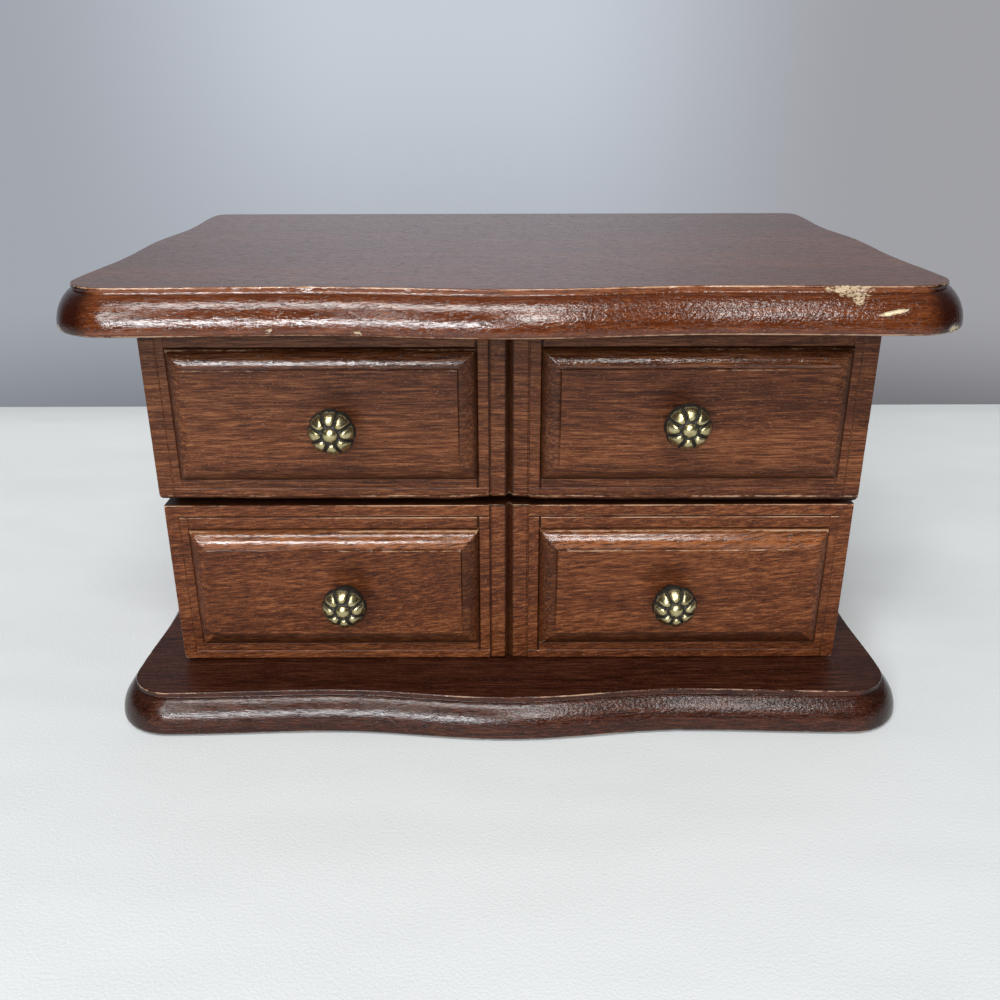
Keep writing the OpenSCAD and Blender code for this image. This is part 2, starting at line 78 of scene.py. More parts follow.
class BoardSettings(bpy.types.PropertyGroup):
    width: length("Width", "Width across the top edges", 0.1736)
    depth: length("Depth", "Depth from the front swell to the sawn back", 0.1186)
    thickness: length("Thickness", "Thickness of either board", 0.009)
    front_radius: length("Front corners", "Plan radius of the front corners", 0.0095)
    back_radius: length("Back corners", "Plan radius of the back corners", 0.004)
    swell: length("Swell", "How far the ovolo passes the top edge", 0.0036)
    quirk: length("Quirk", "Step between the fillet and the ovolo", 0.00035)
    fillet: length("Fillet", "Height of the fillet over the ovolo", 0.0013)
    toe: length("Toe", "Radius under the ovolo", 0.0009)
    hollow: length("Hollow", "Depth of the hollows in the front edge", 0.0033)


class FrontSettings(bpy.types.PropertyGroup):
    panel_in: length("Inner edge", "Distance of a panel's inner edge from the middle", 0.0067)
    panel_out: length("Outer edge", "Distance of a panel's outer edge from the middle", 0.0722)
    panel_height: length("Panel height", "Height of a raised panel", 0.0296)
    rise: length("Rise", "How far a field stands in front of the frame", 0.0029)
    sink: length("Sink", "Depth of the sunk ground that a panel sits in", 0.0003)
    ovolo: length("Ovolo", "Width of the ovolo round the field", 0.004)
    mesh_step: length("Mesh step", "Widest spacing of the carved face's points", 0.00045)


class KnobSettings(bpy.types.PropertyGroup):
    distance: length("Distance", "Distance of a knob from the middle", 0.0368)
    petals: IntProperty(name="Petals", description="Petals round a knob", default=8, min=3, max=16)
    groove: length("Groove", "Depth of the grooves between petals", 0.00055)


class RollSettings(bpy.types.PropertyGroup):
    count: IntProperty(name="Rolls", description="Rolls side by side", default=7, min=1, max=20)
    pitch: length("Pitch", "Distance from roll to roll", 0.01084)
    radius: length("Radius", "Radius of a roll before it is stuffed", 0.0050)
    swell: length("Swelling", "How far the stuffing may push the velvet out", 0.00022)


class FinishSettings(bpy.types.PropertyGroup):
    dark: tint("Dark grain", "Darkest streaks of the stained wood", (0.030, 0.0065, 0.0020))
    middle: tint("Middle grain", "Middle tone of the stained wood", (0.094, 0.0245, 0.0062))
    light: tint("Light grain", "Lightest streaks of the stained wood", (0.235, 0.085, 0.031))
    # The rubbed edge colour is worn finish and also a painted highlight on the arrises.
    rubbed_and_highlight: tint("Rubbed edge", "Arrises where the finish has worn thin", (0.46, 0.29, 0.18))
    bare: tint("Bare wood", "Wood where the finish is chipped off", (0.74, 0.60, 0.38))
    brass: tint("Brass", "Rubbed crests of the brass", (0.54, 0.47, 0.26))
    patina: tint("Patina", "Dark patina in the grooves", (0.012, 0.010, 0.007))
    velvet: tint("Velvet", "Velvet in the tray and drawer", (0.20, 0.016, 0.028))
    rolls: tint("Ring rolls", "Velvet of the ring rolls", (0.24, 0.020, 0.034))
    felt: tint("Felt", "Felt under the base", (0.02, 0.045, 0.028))


class StageSettings(bpy.types.PropertyGroup):
    lens: FloatProperty(name="Lens", description="Focal length in mm", default=35.698, min=10, max=200)
    pitch: FloatProperty(
        name="Pitch", description="How far the camera looks down", default=0.39664, subtype="ANGLE"
    )
    window: power("Window", "Power of the low front window", 7.2)
    pane: power("Upper pane", "Power of the higher front window", 4.4)
    side: power("Side window", "Power of the window at the left", 2.5)
    overhead: power("Overhead", "Power of the lamp above", 6.8)
    floor: tint("Floor", "Colour of the cloth-covered table", (0.68, 0.705, 0.715))
    wall_low: tint("Wall, low", "Backdrop near the table", (0.190, 0.203, 0.235))
    wall_high: tint("Wall, high", "Backdrop at the top", (0.362, 0.388, 0.432))


def in_mm(group, *names):
    """Settings of a group, in millimetres."""
    settings = getattr(bpy.context.scene, group)
    return [getattr(settings, name) / MM for name in names]


# ---- shader maths


class Socket:
    """An output socket; arithmetic on it adds Math nodes."""

    def __init__(self, tree, out=None):
        self.tree = tree
        self.out = out

    def node(self, kind, settings=None, inputs=None, output=0):
        made = self.tree.nodes.new("ShaderNode" + kind)
        for name, value in (settings or {}).items():
            if name == "stops":
                ramp = made.color_ramp
                while len(ramp.elements) < len(value):
                    ramp.elements.new(1)
                for element, (place, colour) in zip(ramp.elements, value):
                    element.position = place
                    element.color = (*colour, 1)
            else:
                setattr(made, name, value)
        for key, value in (inputs or {}).items():
            if isinstance(value, Socket):
                self.tree.links.new(value.out, made.inputs[key])
            else:
                made.inputs[key].default_value = value
        return Socket(self.tree, made.outputs[output] if made.outputs else None)

    def maths(self, operation, *values, clamp=False):
        settings = {"operation": operation, "use_clamp": clamp}
        return self.node("Math", settings, dict(enumerate(values)))

    def __add__(self, other):
        return self.maths("ADD", self, other)

    __radd__ = __add__

    def __sub__(self, other):
        return self.maths("SUBTRACT", self, other)

    def __rsub__(self, other):
        return self.maths("SUBTRACT", other, self)

    def __mul__(self, other):
        return self.maths("MULTIPLY", self, other)

    __rmul__ = __mul__

    def __truediv__(self, other):
        return self.maths("DIVIDE", self, other)

    def rise(self, low, high):
        """0 below low, 1 above high, smooth between."""
        return self.node(
            "MapRange",
            {"interpolation_type": "SMOOTHSTEP"},
            {"Value": self, "From Min": low, "From Max": high},
        )

    def clip(self):
        return self.maths("ADD", self, 0.0, clamp=True)

    def mix(self, low, high, blend="MIX"):
        """Colour low where this is 0 and high where it is 1."""
        low, high = (c if isinstance(c, Socket) else (*c, 1) for c in (low, high))
        settings = {"data_type": "RGBA", "blend_type": blend}
        return self.node("Mix", settings, {0: self, 6: low, 7: high}, output=2)

    def streaks(self, axis, run, across, shift, detail=2.0, roughness=0.5):
        """Noise drawn out along an axis: run and across are features to the millimetre."""
        scale = [run if a == axis else across for a in "XYZ"]
        spot = self.node("VectorMath", {"operation": "MULTIPLY"}, {0: self, 1: scale})
        apart = (shift, 1.7 * shift, 2.3 * shift)
        spot = self.node("VectorMath", {"operation": "ADD"}, {0: spot, 1: apart})
        inputs = {"Vector": spot, "Scale": 1.0, "Detail": detail, "Roughness": roughness}
        return self.node("TexNoise", None, inputs)

    def clouds(self, scale, shift, detail=2.0, roughness=0.5):
        """Noise that looks the same every way."""
        return self.streaks("X", scale, scale, shift, detail, roughness)

    def axis(self, name):
        return self.node("SeparateXYZ", None, {0: self}, output="XYZ".index(name))

    def value(self, name):
        """A number painted on the mesh."""
        return self.node("Attribute", {"attribute_name": name}, output=2)


def toned(colour, share, lift=0.0):
    """A colour times share, a number or one for each channel, plus lift."""
    return np.minimum(1, np.array(colour[:]) * share + lift)


def wood_tones(*channels):
    """Dark, middle and light tone of the stained wood, each channel times its factor."""
    look = bpy.context.scene.box_finish
    return [toned(tone, channels) for tone in (look.dark, look.middle, look.light)]


def new_material(name):
    """A material without nodes, the root of its tree, and the place on the object in millimetres."""
    made = bpy.data.materials.new(name)
    made.use_nodes = True
    made.node_tree.nodes.clear()
    root = Socket(made.node_tree)
    place = root.node("TexCoord", output=3)
    place = place.node("VectorMath", {"operation": "SCALE"}, {0: place, "Scale": 1000.0})
    return made, root, place


def finish_material(root, colour, rough, height=None, **fixed):
    """Ends a material; height is the relief of the surface in millimetres."""
    inputs = {"Base Color": colour if isinstance(colour, Socket) else (*colour, 1), "Roughness": rough}
    if height is not None:
        inputs["Normal"] = root.node("Bump", None, {"Strength": 1.0, "Distance": MM, "Height": height})
    for key, value in fixed.items():
        inputs[key.replace("_", " ")] = value
    shader = root.node("BsdfPrincipled", None, inputs)
    root.node("OutputMaterial", None, {"Surface": shader})


def grain(place, axis, shift, slope=0.0):
    """Tone, pores and fine fibre of straight-grained wood, each from 0 to 1."""
    drift = place.streaks(axis, 0.011, 0.035, shift) * 5.0
    if slope:
        drift = drift - place.axis(axis) * slope
    bend = drift.node("CombineXYZ", None, {i: drift for i in range(3) if "XYZ"[i] != axis})
    place = place.node("VectorMath", {"operation": "ADD"}, {0: place, 1: bend})
    bands = place.streaks(axis, 0.007, 0.10, shift, 3.0, 0.55)
    figure = place.streaks(axis, 0.05, 1.3, shift + 3, 5.0, 0.68)
    fine = place.streaks(axis, 0.15, 3.3, shift + 7, 4.0, 0.75)
    pores = place.streaks(axis, 0.50, 4.8, shift + 11, 2.0, 0.6).rise(0.58, 0.70)
    tone = bands * 0.16 + figure * 0.26 + fine * 0.58
    return tone, pores, fine


def stained_wood(name, axis, tones, shift=0.0, rough=0.42, shine=0.2, crinkle=0.0, wear=1.0, slope=0.0,
                 hammered_from=0.0):
    """Stained, shellacked wood: grain, pores, specks of painted sparkle, end grain darkened partly as
    painted shade, painted light and painted shade where the mesh marks them, worn edges with a painted
    highlight, and chips.
    """
    look = bpy.context.scene.box_finish
    made, root, place = new_material(name)
    tone, pores, fine = grain(place, axis, shift, slope)
    dark, middle, light = tones
    colour = tone.node("ValToRGB", {"stops": [(0.41, dark), (0.50, middle), (0.60, light)]}, {0: tone})
    colour = (pores * 0.7).mix(colour, toned(dark, 0.3))
    # Painted sparkle: light specks that stand in for glints on the finish.
    speck = place.streaks(axis, 1.6, 3.6, shift + 71, 2.0, 0.6).rise(0.60, 0.74)
    colour = (speck * 0.45).mix(colour, toned(light, 1.25, 0.05))
    # End grain soaks up more stain; the mark also darkens the sides that turn away from the light, as
    # painted shade.
    colour = (root.value("endgrain") * 0.93).mix(colour, toned(middle, (0.15, 0.06, 0.04)))
    # Painted light: a paler orange where the mesh marks it, on the lid's fillet and the drawer's top
    # ovolos.
    colour = (root.value("amber") * fine.rise(0.35, 0.6)).mix(colour, toned(light, 1.5))
    # Painted shade: near black where the mesh marks creases, grooves, seams, panel feet, the band under
    # the lid and spots above the knobs.
    colour = (root.value("valley").clip() * 0.92).mix(colour, toned(dark, 0.12))

    # Arrises: rubbed thin in patches and paled as a painted highlight, nicked to bare wood here and
    # there.
    edge = root.value("ridge")
    chip_noise = place.streaks(axis, 0.45, 1.5, shift + 20, 4.0, 0.7)
    patchy = place.clouds(0.06, shift + 31)
    rub_from = 0.80 - 0.16 * wear
    rubbed_and_highlight = (edge * (chip_noise * 0.9 + patchy * 0.8)).rise(rub_from, rub_from + 0.2)
    colour = (rubbed_and_highlight * 0.7).mix(colour, look.rubbed_and_highlight[:])
    nick_from = 0.70 - 0.08 * wear
    nicks = (edge * chip_noise + (patchy - 0.5) * 0.35).rise(nick_from, nick_from + 0.06)

    # Chips: bare wood whose rim crumbles, faint where only the top coat is gone.
    crumbs = place.streaks(axis, 1.5, 2.8, shift + 25, 3.0, 0.7)
    stripped = (root.value("bare") + (crumbs - 0.5) * 1.1).rise(0.48, 0.60)
    raw = place.streaks(axis, 0.3, 2.6, shift + 41, 4.0, 0.7).rise(0.34, 0.62)
    raw = raw.mix(toned(look.bare, 0.45), look.bare[:])
    faint = 0.6 + root.value("bare").rise(0.72, 0.9) * 0.4
    bare = nicks.maths("MAXIMUM", nicks, stripped * faint)
    colour = bare.mix(colour, raw)

    # Relief: thick shellac over the fibre, and a crinkled or hammered skin on mouldings.
    skin = place.streaks(axis, 0.42, 1.9, shift + 51, 3.0, 0.6)
    height = skin * 0.03 + fine * 0.015 + (1 - pores) * 0.018 - bare * 0.06
    if crinkle:
        streaky = place.streaks("X", 0.45, 1.5, shift + 61, 3.0, 0.62)
        hammered = place.streaks("X", 1.2, 1.6, shift + 67, 2.0, 0.6)
        there = place.axis("X").rise(hammered_from - 25.0, hammered_from + 25.0)
        height = height + (streaky * (1 - there) * 0.5 + hammered * there) * crinkle
    gloss = rough + (skin - 0.5) * 0.2 + pores * 0.15 + bare * 0.35
    finish_material(root, colour, gloss.clip(), height, Specular_IOR_Level=shine)
    return made


def wood_pair(name, axis, tones, shift, flat=(0.42, 0.2), moulding=(0.11, 0.49), crinkle=0.07, **rest):
    """The same wood twice: a satin finish for flats, and a glossy, crinkled one for mouldings."""
    return (
        stained_wood(name, axis, tones, shift, *flat, **rest),
        stained_wood(name + " moulding", axis, tones, shift, *moulding, crinkle=crinkle, **rest),
    )


def plain_wood(name, axis, pale, deep, shift=0.0):
    made, root, place = new_material(name)
    tone, pores, fine = grain(place, axis, shift)
    colour = tone.node("ValToRGB", {"stops": [(0.32, deep), (0.66, pale)]}, {0: tone})
    colour = (pores * 0.4).mix(colour, toned(deep, 0.45))
    height = fine * 0.06 + (1 - pores) * 0.02
    finish_material(root, colour, (0.62 - fine * 0.12).clip(), height)
    return made


def aged_brass(name, crest, patina, shine=0.27):
    made, root, place = new_material(name)
    grime_and_lid_shadow = place.clouds(0.9, 4, 4.0, 0.65)
    speck = place.clouds(4.5, 9, 2.0, 0.6)
    # Patina in the grooves and painted shade on the knobs' rims and shanks, from the groove mark, with
    # patchy grime.
    patina_and_shade = root.value("groove") * 1.25 + (grime_and_lid_shadow - 0.5) * 1.1 + (speck - 0.5) * 0.4
    patina_and_shade = patina_and_shade.rise(0.30, 0.58)
    warm = grime_and_lid_shadow.rise(0.35, 0.7).mix(crest, toned(crest, (0.70, 0.66, 0.58)))
    colour = patina_and_shade.mix(warm, patina)
    rough = (shine + patina_and_shade * 0.25 + (speck - 0.5) * 0.25).clip()
    metal = (1 - patina_and_shade * 0.85).clip()
    finish_material(root, colour, rough, grime_and_lid_shadow * 0.05 + speck * 0.02, Metallic=metal)
    return made


def plain_brass(name, colour, shift):
    made, root, place = new_material(name)
    brushed = place.streaks("X", 0.35, 3.5, shift, 3.0, 0.6)
    dull_and_side_shade = place.clouds(0.25, shift + 5, 3.0, 0.6)
    shade = dull_and_side_shade.rise(0.35, 0.7).mix(colour, toned(colour, 0.62))
    finish_material(root, shade, (0.24 + brushed * 0.2).clip(), brushed * 0.015, Metallic=1.0)
    return made


def velvet(name, colour, shift=0.0, nap=1.0):
    made, root, place = new_material(name)
    pile = place.clouds(5.5, shift, 2.0, 0.7)
    lay = place.streaks("Y", 0.05, 0.10, shift + 3, 2.0, 0.4)
    shade = lay.rise(0.25, 0.75).mix(toned(colour, 0.72), toned(colour, 1.25))
    shade = (pile.rise(0.35, 0.75) * 0.35).mix(shade, toned(colour, 1.9, 0.01))
    finish_material(
        root, shade, 0.85, (pile + lay * 0.5) * (0.15 * nap), Sheen_Weight=0.6, Sheen_Roughness=0.4,
        Sheen_Tint=(*toned(colour, 3.5), 1),
    )
    return made


def mirror_finish(name):
    made, root, place = new_material(name)
    haze = place.clouds(0.05, 2, 4.0, 0.6)
    foxing = place.clouds(0.4, 8, 4.0, 0.7).rise(0.68, 0.8)
    colour = foxing.mix((0.86, 0.88, 0.88), (0.30, 0.27, 0.22))
    finish_material(root, colour, (0.015 + haze * 0.02 + foxing * 0.3).clip(), Metallic=1.0)
    return made


def card(name):
    made, root, place = new_material(name)
    fibre = place.clouds(1.6, 1, 4.0, 0.7)
    colour = fibre.mix((0.20, 0.15, 0.10), (0.40, 0.32, 0.22))
    finish_material(root, colour, 0.9, fibre * 0.06)
    return made


# ---- mesh helpers


def linked(name, data):
    """A new object in the scene."""
    made = bpy.data.objects.new(name, data)
    bpy.context.scene.collection.objects.link(made)
    return made


def build(name, points, faces, materials, marks=None, angle=50.0, slots=None):
    """A piece from points in millimetres, with numbers painted on its points and a material per face."""
    mesh = bpy.data.meshes.new(name)
    mesh.from_pydata((np.asarray(points, float) * MM).tolist(), [], faces)
    for mark, values in (marks or {}).items():
        layer = mesh.attributes.new(mark, "FLOAT", "POINT")
        layer.data.foreach_set("value", np.asarray(values, np.float32).ravel())
    for material in materials:
        mesh.materials.append(material)
    if slots is not None:
        mesh.polygons.foreach_set("material_index", slots)
    mesh.validate()
    mesh.update()
    mesh.shade_smooth()
    mesh.set_sharp_from_angle(angle=math.radians(angle))
    return linked(name, mesh)


def place_piece(piece, body, node):
    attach(piece, body)
    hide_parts(node)


def held(value):
    """Held between 0 and 1."""
    return np.clip(value, 0, 1)


def bell(distance, width):
    """1 at no distance, fading out within about two widths."""
    return np.exp(-((distance / width) ** 2))


def lattice(cells, seed):
    """A repeatable number from -1 to 1 for each whole-number point."""
    mixed = np.sin(cells @ np.array([127.1, 311.7, 74.7]) + 19.19 * seed) * 43758.5453
    return 2 * (mixed - np.floor(mixed)) - 1


def roughness(points, size, seed=0):
    """Smooth repeatable noise from -1 to 1, with features about size across."""
    scaled = np.asarray(points, float) / size
    low = np.floor(scaled)
    part = scaled - low
    part = part * part * (3 - 2 * part)
    total = np.zeros(len(scaled))
    for corner in np.ndindex(2, 2, 2):
        weight = np.prod(np.where(corner, part, 1 - part), axis=1)
        total += weight * lattice(low + corner, seed)
    return total


def loop_faces(rows, columns, closed=True):
    """Quads between successive rows of a grid, rows running outwards or upwards."""
    steps = [(j, (j + 1) % columns) for j in range(columns if closed else columns - 1)]
    starts = [i * columns for i in range(rows - 1)]
    return [(a + j, a + k, a + columns + k, a + columns + j) for a in starts for j, k in steps]


def grid_rim(rows, columns):
    """The points round the edge of a grid, in order."""
    rim = list(range(columns)) + [i * columns + columns - 1 for i in range(1, rows)]
    rim += [(rows - 1) * columns + j for j in range(columns - 2, -1, -1)]
    return rim + [i * columns for i in range(rows - 2, 0, -1)]


def end_faces(rows, columns):
    """The two faces that close a tube of rows."""
    last = (rows - 1) * columns
    return [tuple(range(columns))[::-1], tuple(range(last, last + columns))]


def skirt_faces(above, below):
    """Quads from one ring of points down to the next."""
    n = len(above)
    return [(above[(i + 1) % n], above[i], below[i], below[(i + 1) % n]) for i in range(n)]


def node_box(node):
    """Low and high corner of a CAD node, in millimetres."""
    return [np.array(corner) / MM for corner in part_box(node)]


def cut(piece, cutters):
    """Cuts closed meshes out of a piece and applies the result."""
    for cutter in cutters:
        step = piece.modifiers.new("cut", "BOOLEAN")
        step.operation = "DIFFERENCE"
        step.solver = "EXACT"
        step.object = cutter
    depsgraph = bpy.context.evaluated_depsgraph_get()
    depsgraph.update()
    result = bpy.data.meshes.new_from_object(piece.evaluated_get(depsgraph))
    piece.modifiers.clear()
    used = [piece.data, *(cutter.data for cutter in cutters)]
    piece.data = result
    result.name = piece.name
    for cutter in cutters:
        bpy.data.objects.remove(cutter)
    for mesh in used:
        bpy.data.meshes.remove(mesh)
    result.set_sharp_from_angle(angle=math.radians(50))


def form_object(form):
    """An object of a bmesh form, to cut with."""
    mesh = bpy.data.meshes.new("cutter")
    form.to_mesh(mesh)
    form.free()
    return linked("cutter", mesh)


def block(low, high):
    form = bmesh.new()
    bmesh.ops.create_cube(form, size=1)
    low, high = Vector(low) * MM, Vector(high) * MM
    for v in form.verts:
        v.co = Vector((v.co[i] + 0.5) * (high[i] - low[i]) + low[i] for i in range(3))
    return form_object(form)


def rod(start, length_x, radius):
    """A cylinder along x."""
    form = bmesh.new()
    bmesh.ops.create_cone(
        form, segments=32, radius1=radius * MM, radius2=radius * MM, depth=length_x * MM, cap_ends=True
    )
    turn = Matrix.Rotation(math.pi / 2, 4, "Y")
    middle = Vector(start) * MM + Vector((length_x * MM / 2, 0, 0))
    bmesh.ops.transform(form, matrix=Matrix.Translation(middle) @ turn, verts=form.verts)
    return form_object(form)


def dress(material, *nodes, width=0.25):
    """Paints CAD nodes and rounds their edges for the eye."""
    for node in nodes:
        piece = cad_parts[node]
        piece.data.materials.clear()
        piece.data.materials.append(material)
        if width:
            piece.modifiers.new("weld", "WELD").merge_threshold = 1e-6
            bevel = piece.modifiers.new("bevel", "BEVEL")
            bevel.width = width * MM
            bevel.segments = 2
            bevel.limit_method = "ANGLE"
            bevel.angle_limit = math.radians(40)


# ---- boards

# Places of the solids and depths of wear, in millimetres.
FRONT_EDGE = -57.5
FELT = 0.5
LID_Z = 91.3
FACE_Y = -41.6
ROLL_AXIS = 4.2
HINGE_X = 45.0
HINGE_Y = 53.759
HINGE_Z = 91.2
MIRROR_Y = 5.5

EDGE_WEAR = 0.28
CHIP_DEPTH = 0.3
# Distance back from the front edge, and depth of the hollow there.
SIDE_WAVE = [(11.7, 0), (38, 1.1), (62, 0.3), (87, 2), (112, 1), (118.6, 1.3)]


def ease(u):
    return (1 - np.cos(np.pi * u)) / 2


def wave(knots, t):
    """Crests and hollows joined by cosine curves."""
    knots = np.array(knots, float)
    t = np.asarray(t, float)
    i = np.clip(np.searchsorted(knots[:, 0], t) - 1, 0, len(knots) - 2)
    u = held((t - knots[i, 0]) / (knots[i + 1, 0] - knots[i, 0]))
    return knots[i, 1] + (knots[i + 1, 1] - knots[i, 1]) * ease(u)


def board_plan():
    """Plan of either board: points with y back from the front edge, and outward normals."""
    width, depth, r, rb, hollow = in_mm(
        "box_boards", "width", "depth", "front_radius", "back_radius", "hollow"
    )
    half = width / 2
    crest = 2.2  # of the hollow beside a front corner
    cx, cy = half - r, crest + r
    front = [(0, 0), (40, hollow), (cx, crest)]
    x = np.linspace(0, cx, 200)
    parts = [np.c_[x, wave(front, x)]]
    a = np.radians(np.linspace(-90, 0, 34)[1:-1])
    parts.append(np.c_[cx + r * np.cos(a), cy + r * np.sin(a)])
    last = depth - rb
    t = np.linspace(cy, last, 170)
    parts.append(np.c_[half - wave(SIDE_WAVE, t), t])
    bx = half - wave(SIDE_WAVE, last) - rb
    a = np.radians(np.linspace(0, 90, 14)[1:])
    parts.append(np.c_[bx + rb * np.cos(a), last + rb * np.sin(a)])
    x = np.linspace(bx, 0, 60)[1:]
    parts.append(np.c_[x, np.full(len(x), depth)])
    right = np.vstack(parts)
    left = right[1:-1][::-1] * [-1, 1]
    plan = np.vstack([right, left])
    run = np.roll(plan, -1, 0) - np.roll(plan, 1, 0)
    run /= np.linalg.norm(run, axis=1)[:, None]
    return plan, np.c_[run[:, 1], -run[:, 0]]


def board_profile():
    """Edge moulding from the underside to the top, as (offset, height, arris, toe)."""
    t, swell, quirk, fillet, toe = in_mm("box_boards", "thickness", "swell", "quirk", "fillet", "toe")
    rise = t - fillet - toe
    sweep = 2 * math.atan((swell - quirk) / rise)
    radius = rise / math.sin(sweep)
    arris = 0.28
    rows = [(swell - toe - inset, 0.0) for inset in (2.5, 1.0, 0.35)]
    quarter = np.radians(np.linspace(0, 90, 8))
    rows += [(swell - toe + toe * math.sin(a), toe * (1 - math.cos(a))) for a in quarter]
    curve = np.linspace(0, sweep, 27)[1:]
    rows += [(swell - radius * (1 - math.cos(a)), toe + radius * math.sin(a)) for a in curve]
    top_of_step = t - fillet
    rows[-1] = (rows[-1][0], rows[-1][1] - 0.06)
    rows += [(quirk - 0.07, top_of_step), (0.09, top_of_step), (0.01, top_of_step + 0.1)]
    rows += [(0.0, top_of_step + 0.45), (0.0, t - arris - 0.25), (0.0, t - arris)]
    turn = np.radians([30, 60, 90])
    rows += [(-arris * (1 - math.cos(a)), t - arris + arris * math.sin(a)) for a in turn]
    rows += [(-arris - inset, t) for inset in (0.25, 0.6, 1.2, 2.2, 3.3)]
    rows = np.array(rows)
    steps = np.r_[0, np.cumsum(np.linalg.norm(np.diff(rows, axis=0), axis=1))]
    at_arris = steps[np.argmin(np.abs(rows[:, 0] + arris * 0.3) + np.abs(rows[:, 1] - t + arris * 0.3))]
    at_toe = steps[np.argmin(np.abs(rows[:, 1] - toe * 0.4) + np.abs(rows[:, 0] - swell))]
    return rows, steps - at_arris, steps - at_toe


def moulded_board(name, base_z, woods, chips=(), seed=0, amber=0.0, end=1.0):
    """A serpentine board with an ovolo edge, worn arrises and chips; end darkens its side edges as end
    grain and as painted shade, and the fillet can carry painted light.
    """
    depth, thickness, fillet = in_mm("box_boards", "depth", "thickness", "fillet")
    plan, normal = board_plan()
    rows, arris, toe = board_profile()
    step = np.linalg.norm(np.roll(plan, -1, 0) - plan, axis=1)
    run = np.r_[0, np.cumsum(step)[:-1]]
    run = np.where(run > step.sum() / 2, run - step.sum(), run)
    n = len(plan)
    points, ridge, bare, valley = [], [], [], []
    sideways = held((np.abs(normal[:, 0]) - 0.15) / 0.30)
    for (offset, z), from_arris, from_toe in zip(rows, arris, toe):
        ring = plan + normal * offset
        ring[:, 1] = np.minimum(ring[:, 1], depth)
        place = np.c_[ring[:, 0], ring[:, 1] + FRONT_EDGE, np.full(n, z + base_z)]
        moulding = 1.0 if 0.5 < z < thickness - 0.1 else 0.0
        wobble = 0.05 * roughness(place, 9, seed) + 0.02 * roughness(place, 2.3, seed + 1)
        eaten = held(roughness(place * [1, 1, 0.4], 1.6, seed + 2) - 0.35)
        near = bell(from_arris, 0.35) + bell(from_toe, 0.4)
        moved = moulding * (wobble - 0.07) * 0.5 - EDGE_WEAR * near * eaten
        stripped = np.full(n, -1.0)
        for at, drop, wide, tall, slant, clean in chips:
            u = (run - at) / wide
            v = (from_arris + drop - slant * (run - at)) / tall
            inside = 1 - np.sqrt(u * u + v * v) + 0.25 * roughness(place, 1.1, seed + 5)
            stripped = np.maximum(stripped, np.where(inside > 0, clean, 1) * inside)
            moved -= CHIP_DEPTH * held(2 * inside)
        moved[ring[:, 1] > depth - 0.2] = 0
        place[:, :2] += normal * moved[:, None]
        points.append(place)
        ridge.append(np.full(n, min(1.0, near)))
        # Painted shade in the crease under the fillet.
        valley.append(np.full(n, 0.45 * bell(from_arris + fillet + 0.05, 0.25)))
        bare.append(held(0.5 + stripped * 0.9))
    faces = loop_faces(len(rows), n) + end_faces(len(rows), n)
    flat = (rows[:-1, 1] == rows[1:, 1]) & ((rows[:-1, 1] == 0) | (rows[:-1, 0] < -0.2))
    slots = [*np.repeat(np.where(flat, 0, 1), n), 0, 0]
    marks = {"ridge": ridge, "bare": bare, "valley": valley}
    marks = {mark: np.concatenate(values) for mark, values in marks.items()}
    # End grain and painted shade on the sides that turn sideways.
    marks["endgrain"] = np.concatenate([sideways * (0 if offset < -0.2 else end) for offset, z in rows])
    on_fillet = (rows[:, 1] > thickness - fillet - 0.05) & (rows[:, 0] > -0.05)
    # Painted light on the fillet.
    marks["amber"] = amber * np.repeat(on_fillet, n) * (1 - marks["endgrain"])
    return build(name, np.vstack(points), faces, woods, marks, 55, slots)


# ---- front boards

# Distances from the middle, widths and depths of the carving, in millimetres.
STRIP_IN = 4.0
STRIP_OUT = 74.2
STRIP_SINK = 0.3
SCORE_W = 0.45
SCORE_D = 0.6
OUTER_W = 0.3
V_HALF = 1.0
V_DEPTH = 1.6
PANEL_GAP = 0.15
FIELD_STEP = 0.3
LINE_ABOVE = 3.1
LINE_BELOW = 2.2
OUTER_SCORE = 0.14
ROUNDING = (0.12, 0.35, 0.7)


def panel_distances(x, z, panel_z):
    """Distances inwards from a panel's inner, outer, lower and upper edges, and from the nearest."""
    pin, pout, tall = in_mm("box_fronts", "panel_in", "panel_out", "panel_height")
    a = np.abs(x)
    ways = [a - pin - PANEL_GAP, pout - PANEL_GAP - a]
    ways += [z - panel_z - PANEL_GAP, panel_z + tall - PANEL_GAP - z]
    return [*ways, np.minimum.reduce(ways)]


